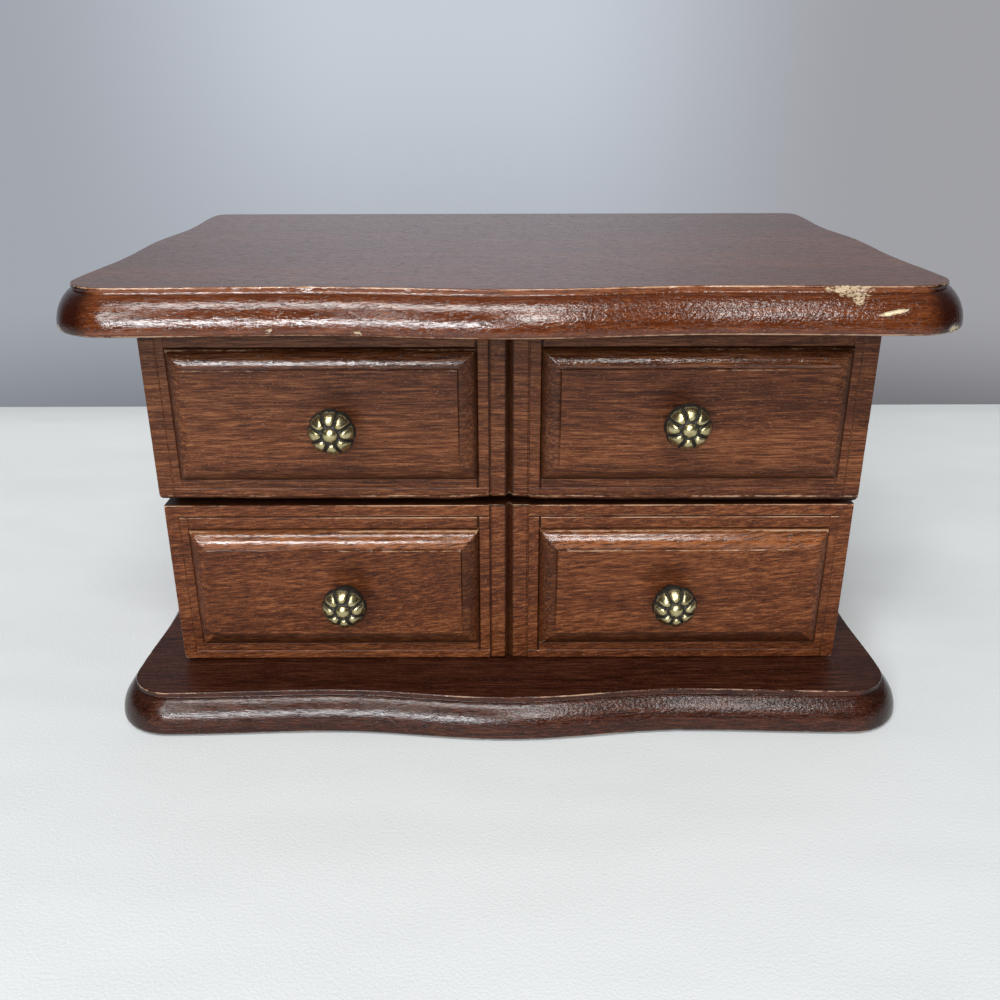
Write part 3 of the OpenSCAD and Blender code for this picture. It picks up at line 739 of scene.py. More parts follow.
def carved_depth(x, z, panel_z, top_z):
    """Depth of the carved face behind its plane, in millimetres."""
    pin, pout, tall, rise, sink, width = in_mm(
        "box_fronts", "panel_in", "panel_out", "panel_height", "rise", "sink", "ovolo"
    )
    low, high = panel_z - LINE_BELOW, panel_z + tall + LINE_ABOVE
    a = np.abs(x)
    depth = np.where(a < STRIP_IN, STRIP_SINK, 0.0)
    depth = np.maximum(depth, V_DEPTH * (1 - a / V_HALF))

    def score(x0, x1, z0, z1, deep=SCORE_D):
        return np.where((a > x0) & (a < x1) & (z > z0) & (z < z1), deep, 0.0)

    edge = 1e3
    left = np.where(x < 0, 1.0, 0.55)
    for mark in (
        score(STRIP_IN, STRIP_IN + SCORE_W, -edge, edge) * left,
        score(STRIP_OUT - OUTER_W, STRIP_OUT, -edge, top_z, OUTER_SCORE),
        score(pin, pin + SCORE_W, low, high),
        score(pout - SCORE_W, pout, low, high, OUTER_SCORE),
        score(STRIP_IN, STRIP_OUT, low, low + SCORE_W, OUTER_SCORE),
        score(STRIP_IN, STRIP_OUT, high - SCORE_W, high, SCORE_D * 0.6),
    ):
        depth = np.maximum(depth, mark)
    inner, outer, below, above, nearest = panel_distances(x, z, panel_z)
    short = held(1 - nearest / width)
    height = (sink + rise - FIELD_STEP) * np.sqrt(1 - short**2)
    tilt = held((outer - width) / 25) * held((below - width) / 9)
    height += np.where(nearest > width, FIELD_STEP * tilt, 0)
    by_step = np.minimum(np.abs(inner - width + 0.12) + 9 * (above < width - 0.2),
                         np.abs(above - width + 0.12) + 9 * (inner < width - 0.2))
    height -= 0.16 * (by_step < 0.12) * (nearest > width - 0.3)
    ground = np.where(nearest < 0, 0, height)
    return np.where(nearest > -PANEL_GAP, sink - ground, depth)


def grid_lines(low, high, features, feet, width, step):
    """Places of the mesh lines: close together at carved edges and on the ovolos."""
    lines = {low, high}
    for f in features:
        lines.update(f + d for d in (-0.28, -0.09, 0, 0.09, 0.28))
    for f, way in feet:
        turn = np.radians(range(0, 90, 8))
        lines.update(f + way * (PANEL_GAP + width * (1 - math.cos(a))) for a in turn)
    lines = sorted(v for v in lines if low <= v <= high)
    kept = [lines[0]]
    for v in lines[1:]:
        if v - kept[-1] > 0.045:
            kept.append(v)
    kept[-1] = high
    full = []
    for a, b in zip(kept[:-1], kept[1:]):
        count = max(1, math.ceil((b - a) / step))
        full += [a + (b - a) * i / count for i in range(count)]
    return np.array([*full, high])


def rounded(distance, radius):
    """How far a rounded edge falls back at a distance from the edge."""
    u = np.clip(radius - distance, 0, radius)
    return radius - np.sqrt(np.maximum(radius**2 - u**2, 0))


def front_board(name, width, height, thick, low_z, face_y, panel_z, low_r, high_r, ragged, seed, woods,
                foot_shade, shade, grime_and_lid_shadow, amber, kerf_top=1e3):
    """A board with two raised panels, its face a fine grid, its edges a skirt round the grid.

    ragged gives how its lower edge wanders; low_r and high_r round its lower and upper edges; the four
    numbers after woods are painted shade at the panels' feet, painted shade on two of their sides, the
    lid's painted shadow on the band under the lid, and painted light on the top ovolos.
    """
    pin, pout, tall, width_o, step = in_mm(
        "box_fronts", "panel_in", "panel_out", "panel_height", "ovolo", "mesh_step"
    )
    low, high = panel_z - LINE_BELOW, panel_z + tall + LINE_ABOVE
    field = PANEL_GAP + width_o
    half = width / 2
    right = [V_HALF, STRIP_IN, STRIP_IN + SCORE_W, pin, pin + SCORE_W, pin + field, pout - field,
             pout - SCORE_W, pout, STRIP_OUT - SCORE_W, STRIP_OUT, half - 0.06, half - 0.2]
    feet = [(pin, 1), (pout, -1), (-pin, -1), (-pout, 1)]
    xs = grid_lines(-half, half, [0] + right + [-v for v in right], feet, width_o, step)
    up = [low, low + SCORE_W, panel_z, panel_z + field, panel_z + tall - field, panel_z + tall]
    up += [high - SCORE_W, high, *(low_r * f for f in ROUNDING), *(height - high_r * f for f in ROUNDING)]
    zs = grid_lines(0, height, up, [(panel_z, 1), (panel_z + tall, -1)], width_o, step)
    x, z = (g.ravel() for g in np.meshgrid(xs, zs))
    to_end = half - np.abs(x)

    def depth_at(dx, dz):
        return carved_depth(x + dx, z + dz, panel_z, kerf_top)

    soft = 0.07  # blunts the carving's edges
    near = ((0, 0), (soft, 0), (-soft, 0), (0, soft), (0, -soft))
    depth = sum(depth_at(dx, dz) for dx, dz in near) / len(near)
    ring = [(0.3 * math.cos(a), 0.3 * math.sin(a)) for a in np.arange(8) * math.pi / 4]
    lean = sum(depth_at(dx, dz) for dx, dz in ring) / len(ring) - depth_at(0, 0)
    flat = np.c_[x, z, np.full(len(x), seed)]
    level = np.abs(depth_at(0, 0.25) - depth_at(0, -0.25))
    ridge = held(lean / 0.08) * np.where(level > 0.02, 0.85, 0.4)
    inner, outer, below, above, nearest = panel_distances(x, z, panel_z)
    for side, share in ((above, 1.0), (inner, 0.5)):
        arris = bell(side - width_o - 0.18, 0.2) * (nearest > width_o - 0.05)
        ridge = np.maximum(ridge, share * arris)
    on_ovolo = (nearest > -PANEL_GAP) & (nearest < width_o)
    # Painted shade at the panels' feet.
    foot = foot_shade * bell(np.maximum(nearest, 0), 1.5) * (nearest > -PANEL_GAP)
    # Painted shade in the V-groove.
    groove = 0.66 * (np.abs(x) < V_HALF + 0.03)
    # Painted shade on the inner and lower ovolos, which face away from the lamps.
    dull_and_side_shade = on_ovolo * np.select([nearest == inner, nearest == below], shade, 0) * (nearest < above)
    # Painted shadow of the lid on the band under it.
    under_lid = grime_and_lid_shadow * bell(height - z, 4.5)
    (knob_x,) = in_mm("box_knobs", "distance")
    # Painted shadow of each knob, above it and towards the middle.
    knob_shadow = 0.34 * bell(np.abs(x) - knob_x + 1.5, 5) * bell(z - panel_z - tall / 2 - 5.5, 2.8)
    # Painted shade in the carving's hollows, joined with the painted shade above.
    valley = np.maximum.reduce([held(-lean / 0.34), foot, groove, dull_and_side_shade, under_lid, knob_shadow])
    depth += rounded(z, low_r) + rounded(height - z, high_r) + rounded(to_end, 0.3)
    worn_low = 0.92 if grime_and_lid_shadow else 0.6  # the board under the lid is worn more along its lower edge
    edge_near = 0.9 * bell(height - z, 0.35) + worn_low * bell(z - 0.75 * low_r, 0.45)
    ridge = np.maximum(ridge, held(edge_near + 0.8 * bell(to_end, 0.4)))
    depth += 0.35 * held(roughness(flat, 0.9, seed + 3) - 0.45) * held(ridge)
    depth += 0.03 * roughness(flat, 14, seed) + 0.012 * roughness(flat, 2.5, seed + 1)
    lift = ragged(x) * held(1 - z / 3.0)
    pull = rounded(z, 1.2) * held(1 - to_end / 2.5)
    points = np.c_[x - np.sign(x) * pull, face_y + depth, low_z + z + lift]
    faces = loop_faces(len(zs), len(xs), closed=False)
    across, up_z = (v.ravel() for v in np.meshgrid((xs[1:] + xs[:-1]) / 2, (zs[1:] + zs[:-1]) / 2))
    inner, outer, _, over, _ = panel_distances(across, up_z, panel_z)
    moulded = (over > 0) & (over < width_o) & (over < np.minimum(inner, outer))
    last = grid_rim(len(zs), len(xs))
    rim = points[last]
    middle = rim.mean(0)
    for share, inset in ((0.05, 0.0), (0.5, 0.0), (0.94, 0.0), (1.0, 0.25)):
        line = rim.copy()
        line[:, 1] += (face_y + thick - rim[:, 1]) * share
        toward = np.sign(middle - line) * inset
        from_low = line[:, 2] - low_z
        line[:, 0] += toward[:, 0] * (np.abs(line[:, 0]) > half - 3)
        line[:, 2] += toward[:, 2] * ((from_low < 2) | (height - from_low < 2))
        now = list(range(len(points), len(points) + len(rim)))
        faces += skirt_faces(last, now)
        points, last = np.vstack([points, line]), now
    faces.append(tuple(last[::-1]))
    pad = np.zeros(len(points) - len(x))
    from_low = points[:, 2] - low_z
    # Painted shade on the faces inside the gap between the boards.
    from_gap = from_low - 0.5 if grime_and_lid_shadow else height - from_low
    at_gap = (from_gap < 0.35) & (points[:, 1] > face_y + 0.25)
    marks = {"ridge": np.r_[ridge, pad], "valley": np.maximum(np.r_[valley, pad], 0.88 * at_gap)}
    # Painted light on the top ovolos, which face up.
    marks["amber"] = np.r_[amber * on_ovolo * (nearest == above), pad]
    slots = np.r_[moulded.astype(int), np.zeros(len(faces) - len(moulded), int)]
    return build(name, points, faces, woods, marks, 62, slots)


# ---- knobs

# Radius and height over the board, from the heart of the flower to its foot.
KNOB_OUTLINE = [
    (0.0, 9.10), (0.55, 9.04), (1.0, 8.86), (1.35, 8.56), (1.55, 8.22), (1.72, 8.02),
    (1.95, 8.10), (2.3, 8.32), (2.8, 8.40), (3.35, 8.16), (3.9, 7.70), (4.35, 7.14),
    (4.7, 6.48), (4.92, 5.85), (4.88, 5.3), (4.6, 4.85), (4.1, 4.4), (3.5, 4.05),
    (2.95, 3.8), (2.4, 3.6), (2.1, 3.25), (1.98, 2.6), (2.02, 1.9), (2.15, 1.3),
    (2.3, 0.9), (2.4, 0.6), (2.4, 0.0),
]


def knob(name, x, y, z, turn, material):
    """A flower of puffed petals with grooves between them, turned about its axis."""
    petals = bpy.context.scene.box_knobs.petals
    (cut_in,) = in_mm("box_knobs", "groove")
    outline = np.array(KNOB_OUTLINE)
    thirds = [a + (b - a) * f for a, b in zip(outline[:-1], outline[1:]) for f in (0, 1 / 3, 2 / 3)]
    fine = np.array([*thirds, outline[-1]])
    for _ in range(2):
        fine[1:-1] = (fine[:-2] + 2 * fine[1:-1] + fine[2:]) / 4
    run = np.gradient(fine, axis=0)
    run /= np.linalg.norm(run, axis=1)[:, None]
    columns = 32 * petals
    angle = np.arange(columns) * 2 * math.pi / columns
    sector = 2 * math.pi / petals
    off = (angle + sector / 2) % sector - sector / 2
    points, patina_and_shade = [(0.0, 0.0, fine[0][1])], [0.1]
    for (r, h), (run_r, run_h) in zip(fine[1:], run[1:]):
        petal = held((r - 1.75) / 0.5) * held((h - 3.7) / 0.7)
        groove = bell((sector / 2 - np.abs(off)) * r, 0.36) * petal
        rim = held((r - 4.2) / 0.7)
        puff = 0.14 * petal * np.cos(off / sector * math.pi)
        carved = puff - groove * cut_in * (1 - 0.7 * rim)
        spot = np.c_[r * np.cos(angle), r * np.sin(angle), np.full(columns, h + x)]
        wobble = 0.035 * roughness(spot, 1.1, 3)
        radial = np.minimum(r - run_h * carved + wobble * petal, 5.0)
        height = np.minimum(h + run_r * carved, 9.1)
        points += list(zip(radial * np.cos(angle), radial * np.sin(angle), height))
        # Patina in the ring round the heart; painted shade on the rim and on the shank under the flower.
        ring = bell(r - 1.78, 0.32) if h > 7 else 0
        under = held((4.9 - h) / 1.2)
        patina_and_shade += list(held(np.maximum(groove * 1.1, max(ring, under, 0.8 * rim))))
    rows = len(fine) - 1
    faces = [(0, 1 + j, 1 + (j + 1) % columns) for j in range(columns)]
    faces += [(1 + a, 1 + d, 1 + c, 1 + b) for a, b, c, d in loop_faces(rows, columns)]
    faces.append(tuple(1 + (rows - 1) * columns + j for j in range(columns))[::-1])
    across, up, out = np.array(points).T
    c, sn = math.cos(turn), math.sin(turn)
    world = np.c_[x + across * c - up * sn, y - out, z + across * sn + up * c]
    return build(name, world, faces, [material], {"groove": patina_and_shade}, 70)


# ---- soft parts


def laid_cloth(name, low, high, cloth, ripple, upside_down):
    """A cut sheet lying flat: a faintly uneven nap side, a flat side and rounded cut edges."""
    (x0, y0, base_z), (x1, y1, _), thick = low, high, high[2] - low[2]
    edge = 0.8
    rim = [0, 0.12, 0.35, edge]

    def lines(a, b):
        count = max(4, round((b - a) / 1.6))
        between = np.linspace(a + 1.8, b - 1.8, count)
        return np.r_[[a + r for r in rim], between, [b - r for r in rim[::-1]]]

    xs, ys = lines(x0, x1), lines(y0, y1)
    x, y = (g.ravel() for g in np.meshgrid(xs, ys))
    to_rim = np.minimum.reduce([x - x0, x1 - x, y - y0, y1 - y])
    flat = np.full(len(x), base_z)
    spot = np.c_[x, y, flat]
    nap = ripple * (0.6 * roughness(spot, 17, 5) + 0.4 * roughness(spot, 5, 6) - 1)
    height = thick + nap - thick * 0.8 * (1 - held(to_rim / edge)) ** 2
    above, below = (flat + thick, flat + thick - height) if upside_down else (flat + height, flat)
    faces = loop_faces(len(ys), len(xs), closed=False)
    faces += [tuple(len(x) + i for i in f[::-1]) for f in faces]
    border = grid_rim(len(ys), len(xs))
    faces += skirt_faces(border, [len(x) + i for i in border])
    return build(name, np.vstack([np.c_[x, y, above], np.c_[x, y, below]]), faces, [cloth], angle=60)


def swept(name, section, stations, cloth, angle=60.0):
    """A closed form whose section, a function of the station, is carried along a line."""
    rings = [np.asarray(section(t)) for t in stations]
    n = len(rings[0])
    faces = loop_faces(len(rings), n) + end_faces(len(rings), n)
    return build(name, np.vstack(rings), faces, [cloth], angle=angle)


def covered_divider(name, low, high, run_x, cloth):
    """A card divider wrapped in velvet, rounded over its top."""
    run, across = (0, 1) if run_x else (1, 0)
    start, end, middle = low[run], high[run], (low[across] + high[across]) / 2
    half, tall = (high[across] - low[across]) / 2, high[2] - low[2]
    turn = np.radians(np.linspace(0, 180, 13))
    arch = [(half * math.cos(a), tall - half + half * math.sin(a)) for a in turn]
    walls = np.linspace(0, tall - half, 14)
    u, z = np.array([(half, z) for z in walls[:-1]] + arch + [(-half, z) for z in walls[::-1][1:]]).T

    def section(t):
        along = np.full(len(u), t)
        soft = 0.07 * (roughness(np.c_[along, u * 3, z], 7, 3) - 1) * held(z / 3)
        aside = u * (1 + soft / half)
        height = low[2] + z + soft * (z > tall - half)
        return np.c_[along, middle + aside, height] if run_x else np.c_[middle - aside, along, height]

    return swept(name, section, np.linspace(start, end, max(8, round((end - start) / 1.5))), cloth)


def roll_section(share):
    """Outline across the ring rolls, its arcs pulled in towards the pad by share, and what is pinned."""
    radius, pitch = in_mm("box_rolls", "radius", "pitch")
    count = bpy.context.scene.box_rolls.count
    outline, pinned = [], []
    for k in range(count):
        middle = (k + 0.5) * pitch
        for a in np.radians(np.linspace(-112, 112, 21)):
            up = ROLL_AXIS * share + radius * share * math.cos(a)
            outline.append((middle + radius * share * math.sin(a), up))
            pinned.append(abs(a) > math.radians(105))
        if k < count - 1:
            outline.append((middle + pitch / 2, 2.2 * share))
            pinned.append(True)
    last = count * pitch
    floor = [(last - 0.1, 1.4)] + [(y, 0.0) for y in np.linspace(last - 0.2, 0.2, 30)] + [(0.1, 1.4)]
    return np.array(outline + floor), np.array(pinned + [True] * len(floor))


def stuffed(piece, pinned, limit):
    """Blows a closed form up with Blender's cloth, letting no point move further than limit."""
    grow, frames = 20.0, 20
    scene = bpy.context.scene
    mesh = piece.data
    rest = np.array([v.co[:] for v in mesh.vertices])
    mesh.transform(Matrix.Scale(grow, 4))
    group = piece.vertex_groups.new(name="pins")
    group.add([int(i) for i in np.flatnonzero(pinned)], 1.0, "REPLACE")
    step = piece.modifiers.new("cloth", "CLOTH")
    step.settings.vertex_group_mass = "pins"
    step.settings.quality = 6
    step.settings.mass = 0.3
    step.settings.use_pressure = True
    step.settings.uniform_pressure_force = 4.0
    step.settings.effector_weights.gravity = 0.0
    step.point_cache.frame_start = 1
    step.point_cache.frame_end = frames
    for frame_number in range(1, frames + 1):
        scene.frame_set(frame_number)
    shaped = piece.evaluated_get(bpy.context.evaluated_depsgraph_get()).to_mesh()
    moved = np.array([v.co[:] for v in shaped.vertices]) / grow - rest
    piece.modifiers.clear()
    piece.vertex_groups.clear()
    scene.frame_set(1)
    far = np.linalg.norm(moved, axis=1)
    moved *= (np.minimum(far, limit * MM) / np.maximum(far, 1e-9))[:, None]
    mesh.vertices.foreach_set("co", (rest + moved).ravel())
    mesh.update()


# ---- operators


CAMERA_PLACE = (-0.00239, -0.24466, 0.13576)
CAMERA_TURN = -0.0017
CAMERA_ROLL = -0.0022
# Half length, reach from front to back and depth of what is cut into the lid.
MIRROR_RECESS = (63.2, 31.7, 2.5)
LEAF_SEAT = (10, 7.2, 0.8)
# Half length and radius of the room for a hinge's barrel.
BARREL_ROOM = (10.8, 2.15)

# Along the front edge from the middle, down from the arris, half length, half height, slant, bareness.
LID_CHIPS = [
    (65.0, 0.5, 4.6, 0.9, 0.0, 0.22),
    (65.8, 1.8, 2.8, 0.9, 0.0, 0.22),
    (66.4, 3.0, 1.2, 1.0, 0.0, 0.22),
    (73.0, 5.5, 2.8, 0.45, 0.2, 0.9),
    (84.0, 9.3, 1.4, 0.7, 0.0, 0.3),
    (-87.0, 9.3, 1.2, 0.7, 0.0, 0.4),
    (-46.2, 8.9, 0.9, 0.45, 0.3, 0.2),
    (-28.9, 9.2, 0.8, 0.4, -0.2, 0.2),
]


class BoxOperator(bpy.types.Operator):
    bl_options = {"REGISTER", "UNDO"}


class VANITY_OT_stage(BoxOperator):
    """Table, backdrop, lamps and camera"""

    bl_idname = "vanity.stage"
    bl_label = "Stage"

    def execute(self, context):
        scene = context.scene
        s = scene.box_stage
        scene.view_settings.view_transform = "Standard"
        camera = bpy.data.cameras.new("camera")
        camera.lens = s.lens
        camera.sensor_width = 36
        camera.clip_start = 0.005
        eye = linked("camera", camera)
        turn = Matrix.Rotation(CAMERA_TURN, 4, "Z") @ Matrix.Rotation(math.pi / 2 - s.pitch, 4, "X")
        roll = Matrix.Rotation(CAMERA_ROLL, 4, "Z")
        eye.matrix_world = Matrix.Translation(CAMERA_PLACE) @ turn @ roll
        scene.camera = eye
        self.table(s)
        self.backdrop(s)
        white = (1.0, 0.99, 0.97)
        self.lamp("window", (-0.31, -1.16, 0.365), (0.42, 0.12), s.window, (0.95, 0.98, 1.0))
        self.lamp("upper pane", (0.147, -0.99, 0.66), (0.2, 0.35), s.pane, white)
        self.lamp("side window", (-0.51, -0.906, 0.645), (0.15, 0.35), s.side, white)
        self.lamp("overhead", (-0.08, -0.60, 0.93), (0.68, 0.17), s.overhead, white)
        return {"FINISHED"}

    def lamp(self, name, place, size, power, colour):
        light = bpy.data.lights.new(name, "AREA")
        light.shape = "RECTANGLE"
        light.size, light.size_y = size
        light.energy = power
        light.color = colour
        lamp = linked(name, light)
        lamp.location = place
        aim = Vector((0, 0, 0.05)) - Vector(place)
        lamp.rotation_euler = aim.to_track_quat("-Z", "Y").to_euler()

    def table(self, s):
        """A cloth-covered table top whose far edge turns down."""
        made, root, place = new_material("table cloth")
        weave = place.clouds(1.6, 0.0, 3.0, 0.6)
        drape = place.streaks("Y", 0.02, 0.012, 4)
        colour = (drape * 0.25 + weave * 0.1).mix(s.floor[:], toned(s.floor, 0.9))
        # Painted light: the cloth grows paler towards the back.
        colour = place.axis("Y").rise(-40.0, 190.0).mix(colour, toned(s.floor, 1.14))
        finish_material(root, colour, 0.95, drape * 1.6 + weave * 0.08)
        edge = [(-900.0, 0.0), (164.0, 0.0), (194.0, -0.8), (204.0, -4.0), (210.0, -14.0)]
        edge.append((212.0, -400.0))
        points = [(x, y, z) for y, z in edge for x in (-900.0, 900.0)]
        faces = [(2 * i, 2 * i + 1, 2 * i + 3, 2 * i + 2) for i in range(len(edge) - 1)]
        cloth = build("table", points, faces, [made], angle=80)

    def backdrop(self, s):
        """Blue-grey wall colour for the camera and reflections, darker low down, with a painted pool of
        light in its middle and painted shade to the right; soft white light for the rest.
        """
        world = bpy.data.worlds.new("room")
        bpy.context.scene.world = world
        world.use_nodes = True
        world.node_tree.nodes.clear()
        root = Socket(world.node_tree)
        direction = root.node("TexCoord")
        x, y, z = (direction.axis(name) for name in "XYZ")
        # Painted pool of light on the wall, in the middle and fading downwards.
        light_pool = 1 - (x + 0.05).maths("ABSOLUTE", x + 0.05).rise(0.08, 0.38)
        light_pool = light_pool * z.rise(-0.30, 0.08)
        wall = z.rise(-0.32, -0.17).mix(s.wall_low[:], s.wall_high[:])
        wall = light_pool.mix(wall, toned(s.wall_high, 1.58))
        # Painted shade on the wall's right side, deepest low down.
        wall = x.rise(0.10, 0.38).mix(wall, (0.97, 0.91, 0.875), "MULTIPLY")
        shade_low_right = x.rise(0.15, 0.38) * (1 - z.rise(-0.30, -0.20))
        wall = shade_low_right.mix(wall, (0.80, 0.785, 0.78), "MULTIPLY")
        room = z.rise(0.1, 0.9).mix((0.03, 0.03, 0.03), (0.15, 0.15, 0.15))
        seen = y.rise(0.3, 0.7).mix(room, wall)
        beside = x.maths("ABSOLUTE", x).rise(0.35, 0.85)
        soft = beside.mix((0.17, 0.172, 0.178), (0.22, 0.222, 0.226))
        soft = y.rise(-0.1, 0.6).mix(soft, (0.46, 0.465, 0.475))
        camera_ray = root.node("LightPath", output="Is Camera Ray")
        glossy_ray = root.node("LightPath", output="Is Glossy Ray")
        through = root.node("LightPath", output="Is Transmission Ray")
        colour = camera_ray.mix((glossy_ray + through).clip().mix(soft, seen), wall)
        light = root.node("Background", None, {"Color": colour, "Strength": 1.0})
        root.node("OutputWorld", None, {"Surface": light})


class VANITY_OT_boards(BoxOperator):
    """Lid board and base board"""

    bl_idname = "vanity.boards"
    bl_label = "Lid and base boards"

    def execute(self, context):
        tawny = wood_tones(0.85, 0.72, 0.60)
        tawny = [0.65 * tone + 0.35 * tawny[1] for tone in tawny]
        lid_wood = wood_pair("lid mahogany", "X", tawny, 5, (0.25, 0.5), (0.10, 0.5), 0.09, wear=0.85)
        lid = moulded_board("lid_moulded_board", LID_Z, lid_wood, LID_CHIPS, 3, 0.5)
        half_x, half_y, deep = MIRROR_RECESS
        cutters = [
            block((-half_x, MIRROR_Y - half_y, LID_Z - 1), (half_x, MIRROR_Y + half_y, LID_Z + deep))
        ]
        half_x, wide, deep = LEAF_SEAT
        half_room, radius = BARREL_ROOM
        for x in (-HINGE_X, HINGE_X):
            cutters.append(
                block((x - half_x, HINGE_Y - wide, LID_Z - 1), (x + half_x, HINGE_Y + 1, LID_Z + deep))
            )
            cutters.append(rod((x - half_room, HINGE_Y, HINGE_Z), 2 * half_room, radius))
        cut(lid, cutters)
        place_piece(lid, "lid", "lid_board")
        umber = wood_tones(0.34, 0.29, 0.40)
        base_wood = wood_pair("base mahogany", "X", umber, 9, (0.40, 0.17), (0.18, 0.36), 0.09, wear=0.4)
        base = moulded_board("base_moulded_board", FELT, base_wood, (), 8, end=0.6)
        place_piece(base, "case", "base_board")
        return {"FINISHED"}


class VANITY_OT_fronts(BoxOperator):
    """Upper front and drawer front, each with two raised panels"""

    bl_idname = "vanity.fronts"
    bl_label = "Front boards"

    def execute(self, context):
        cooler = wood_tones(0.81, 0.82, 0.86)
        redder = wood_tones(0.90, 0.86, 0.80)

        def upper_edge(x):
            spot = np.c_[x, x * 0, x * 0]
            notch = 0.6 * held(1 - ((x + 1.5) / 8.5) ** 2)
            tilt = np.interp(x, [-77, 77], [0.15, -0.7])
            return notch + tilt + 0.12 * roughness(spot, 7.0, 5) + 0.06 * roughness(spot, 1.7, 6)

        def drawer_edge(x):
            return 0.03 * roughness(np.c_[x, x * 0, x * 0], 6.0, 7)

        upper = front_board(
            "upper_front_board", 155, 40.4, 9, 50.7, FACE_Y, 5, 1.5, 0.3, upper_edge, 2,
            wood_pair("upper mahogany", "X", cooler, 1, wear=0.5, hammered_from=-200.0),
            foot_shade=0.6, shade=(0.28, 0.24), grime_and_lid_shadow=0.72, amber=0.0,
        )
        place_piece(upper, "case", "upper_front")
        drawer = front_board(
            "drawer_front_board", 154, 39.4, 8.55, 9.9, FACE_Y + 0.3, 4.2, 0.3, 0.15, drawer_edge, 4,
            wood_pair("drawer mahogany", "X", redder, 2, slope=0.09, hammered_from=200.0),
            foot_shade=0.4, shade=(0.42, 0.66), grime_and_lid_shadow=0.0, amber=0.6, kerf_top=36.5,
        )
        place_piece(drawer, "drawer", "drawer_front")
        return {"FINISHED"}


class VANITY_OT_knobs(BoxOperator):
    """Cast flower knobs"""

    bl_idname = "vanity.knobs"
    bl_label = "Flower knobs"

    def execute(self, context):
        look = context.scene.box_finish
        (x,) = in_mm("box_knobs", "distance")
        brass = aged_brass("antique brass", look.brass[:], look.patina[:])
        seat = FACE_Y - in_mm("box_fronts", "rise")[0]
        for name, side, y, z, turn, body in (
            ("upper_knob_left", -1, seat, 69.65, 0.04, "case"),
            ("upper_knob_right", 1, seat, 70.55, -0.05, "case"),
            ("drawer_knob_left", -1, seat + 0.3, 28.5, 0.03, "drawer"),
            ("drawer_knob_right", 1, seat + 0.3, 28.5, 0.10, "drawer"),
        ):
            made = knob(name + "_flower", side * x, y, z, turn, brass)
            place_piece(made, body, name)
        return {"FINISHED"}


class VANITY_OT_case(BoxOperator):
    """Case, drawer box and tray floor"""

    bl_idname = "vanity.case"
    bl_label = "Case and drawer"

    def execute(self, context):
        cooler = wood_tones(0.84, 0.88, 0.95)
        dress(stained_wood("side mahogany", "Y", cooler, 14), "case_side_left", "case_side_right")
        dress(stained_wood("back mahogany", "X", cooler, 17), "case_back")
        pale, deep = (0.52, 0.36, 0.20), (0.33, 0.20, 0.10)
        run_y = plain_wood("drawer side wood", "Y", pale, deep, 3)
        run_x = plain_wood("drawer wood", "X", pale, deep, 6)
        dress(run_y, "drawer_side_left", "drawer_side_right")
        dress(run_x, "drawer_back", "drawer_bottom", "tray_floor")
        return {"FINISHED"}


class VANITY_OT_lining(BoxOperator):
    """Velvet linings of tray and drawer, and the felt under the base"""

    bl_idname = "vanity.lining"
    bl_label = "Velvet and felt"

    def execute(self, context):
        look = context.scene.box_finish
        cloth = velvet("velvet", look.velvet[:], 3)
        felt = velvet("felt", look.felt[:], 6, 0.5)
        for node, under, body, slot, material in (
            ("tray_lining", "tray_floor", "case", "velvet", cloth),
            ("drawer_lining", "drawer_bottom", "drawer", "velvet", cloth),
            ("base_felt", "base_board", "case", "base_felt", felt),
        ):
            low, high = node_box(node)
            size = high - low
            sheet = laid_cloth(node + "_cloth", low, high, material, 0.12 * size[2], node == "base_felt")
            place_piece(sheet, body, node)
        return {"FINISHED"}


class VANITY_OT_dividers(BoxOperator):
    """Velvet-covered dividers of the tray"""

    bl_idname = "vanity.dividers"
    bl_label = "Tray dividers"

    def execute(self, context):
        cloth = velvet("divider velvet", context.scene.box_finish.velvet[:], 12)
        for node, run_x in (("tray_divider", False), ("tray_cross_divider", True)):
            made = covered_divider(node + "_cover", *node_box(node), run_x, cloth)
            place_piece(made, "case", node)
        return {"FINISHED"}


class VANITY_OT_rolls(BoxOperator):
    """Stuffed rolls that hold rings"""

    bl_idname = "vanity.rolls"
    bl_label = "Ring rolls"

    def execute(self, context):
        low, high = node_box("ring_rolls")
        depth = 3.0
        ends = depth * (1 - np.cos(np.radians([0, 12, 24, 36, 48, 60, 75, 90])))
        between = np.linspace(low[0] + depth, high[0] - depth, 46)[1:-1]
        stations = np.r_[low[0] + ends, between, high[0] - ends[::-1]]

        def share(x):
            near = held(min(x - low[0], high[0] - x) / depth)
            return 0.55 + 0.45 * math.sqrt(1 - (1 - near) ** 2)

        def section(x):
            outline, pinned = roll_section(share(x))
            return np.c_[np.full(len(outline), x), low[1] + outline[:, 0], low[2] + outline[:, 1]]

        cloth = velvet("roll velvet", context.scene.box_finish.rolls[:], 8)
        made = swept("ring_rolls_cushion", section, stations, cloth, 75)
        pinned = np.tile(roll_section(1.0)[1], (len(stations), 1))
        pinned[:2] = pinned[-2:] = True
        stuffed(made, pinned.ravel(), *in_mm("box_rolls", "swell"))
        place_piece(made, "case", "ring_rolls")
        return {"FINISHED"}


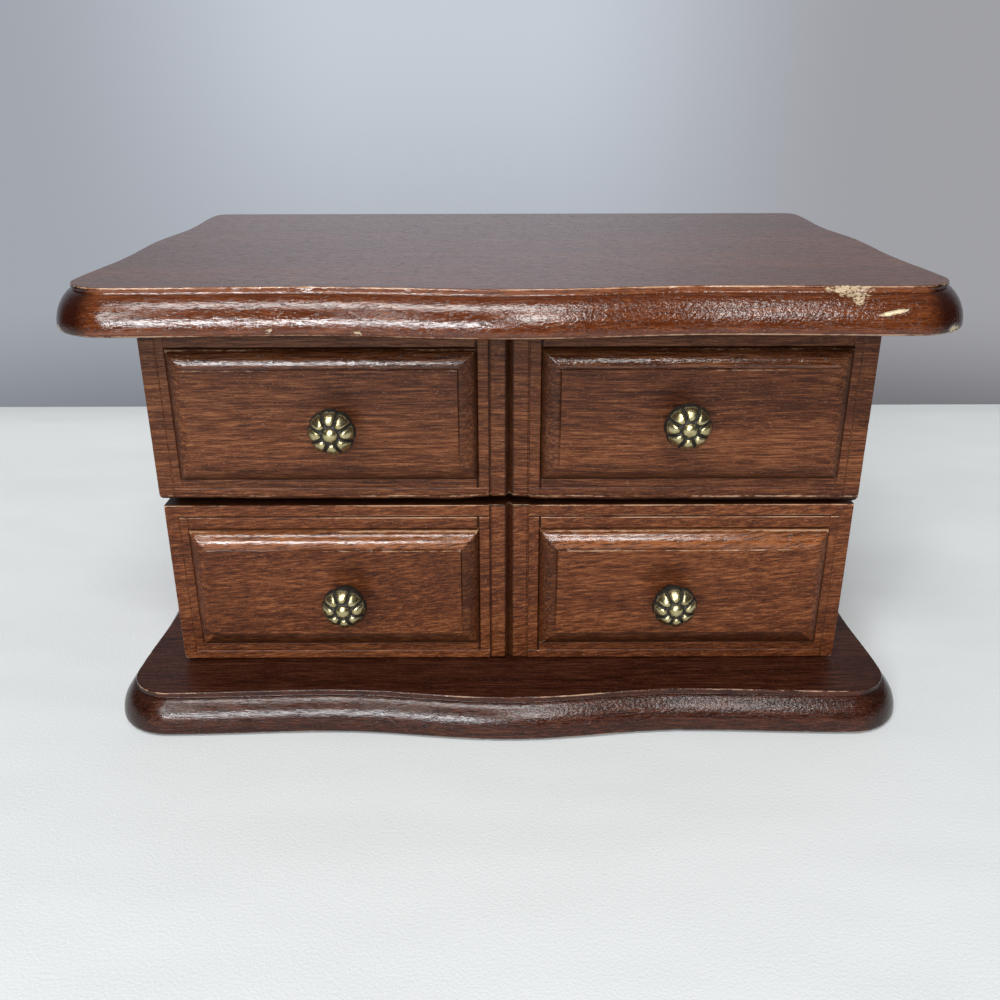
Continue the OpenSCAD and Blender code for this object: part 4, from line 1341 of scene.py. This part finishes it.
class VANITY_OT_mirror(BoxOperator):
    """Mirror, its card and beads"""

    bl_idname = "vanity.mirror"
    bl_label = "Mirror"

    def execute(self, context):
        tones = wood_tones(1, 1, 1)
        dress(mirror_finish("silvered glass"), "mirror_glass", width=0)
        dress(card("backing card"), "mirror_backing", width=0)
        along_x = stained_wood("bead mahogany", "X", tones, 21, 0.3, 0.4)
        along_y = stained_wood("side bead mahogany", "Y", tones, 24, 0.3, 0.4)
        dress(along_x, "mirror_bead_front", "mirror_bead_back", width=0.15)
        dress(along_y, "mirror_bead_left", "mirror_bead_right", width=0.15)
        return {"FINISHED"}


class VANITY_OT_brass(BoxOperator):
    """Hinges, screws and pins"""

    bl_idname = "vanity.brass"
    bl_label = "Hinges and screws"

    def execute(self, context):
        leaf = plain_brass("hinge brass", (0.55, 0.40, 0.17), 2)
        screw = plain_brass("screw brass", (0.48, 0.35, 0.16), 5)
        for side in ("left", "right"):
            parts = ("hinge_case_leaf_", "hinge_lid_leaf_", "hinge_pin_")
            dress(leaf, *(part + side for part in parts), width=0.08)
        screws = ("base_screws", "upper_knob_screws", "drawer_knob_screws", "hinge_case_screws")
        dress(screw, *screws, "hinge_lid_screws", "mirror_brads", width=0)
        return {"FINISHED"}


class VANITY_PT_panel(bpy.types.Panel):
    """Lists the pieces and their sizes"""

    bl_idname = "VANITY_PT_panel"
    bl_label = "Vanity Box"
    bl_space_type = "VIEW_3D"
    bl_region_type = "UI"
    bl_category = "Vanity Box"

    def draw(self, context):
        for name in SETTINGS:
            settings = getattr(context.scene, name)
            box = self.layout.box()
            box.label(text=name[4:].title())
            for key in settings.__annotations__:
                box.prop(settings, key)
        for operator in OPERATORS:
            self.layout.operator(operator.bl_idname)


OPERATORS = (
    VANITY_OT_stage, VANITY_OT_boards, VANITY_OT_fronts, VANITY_OT_knobs, VANITY_OT_case,
    VANITY_OT_lining, VANITY_OT_dividers, VANITY_OT_rolls, VANITY_OT_mirror, VANITY_OT_brass,
)
SETTINGS = {
    "box_boards": BoardSettings, "box_fronts": FrontSettings, "box_knobs": KnobSettings,
    "box_rolls": RollSettings, "box_finish": FinishSettings, "box_stage": StageSettings,
}


def register():
    for made in (*SETTINGS.values(), *OPERATORS, VANITY_PT_panel):
        bpy.utils.register_class(made)
    for name, group in SETTINGS.items():
        setattr(bpy.types.Scene, name, bpy.props.PointerProperty(type=group))


def unregister():
    for name in SETTINGS:
        delattr(bpy.types.Scene, name)
    for made in (VANITY_PT_panel, *OPERATORS[::-1], *SETTINGS.values()):
        bpy.utils.unregister_class(made)


def main():
    register()
    for operator in OPERATORS:
        getattr(bpy.ops.vanity, operator.bl_idname.split(".")[1])()


if __name__ == "__main__":
    main()
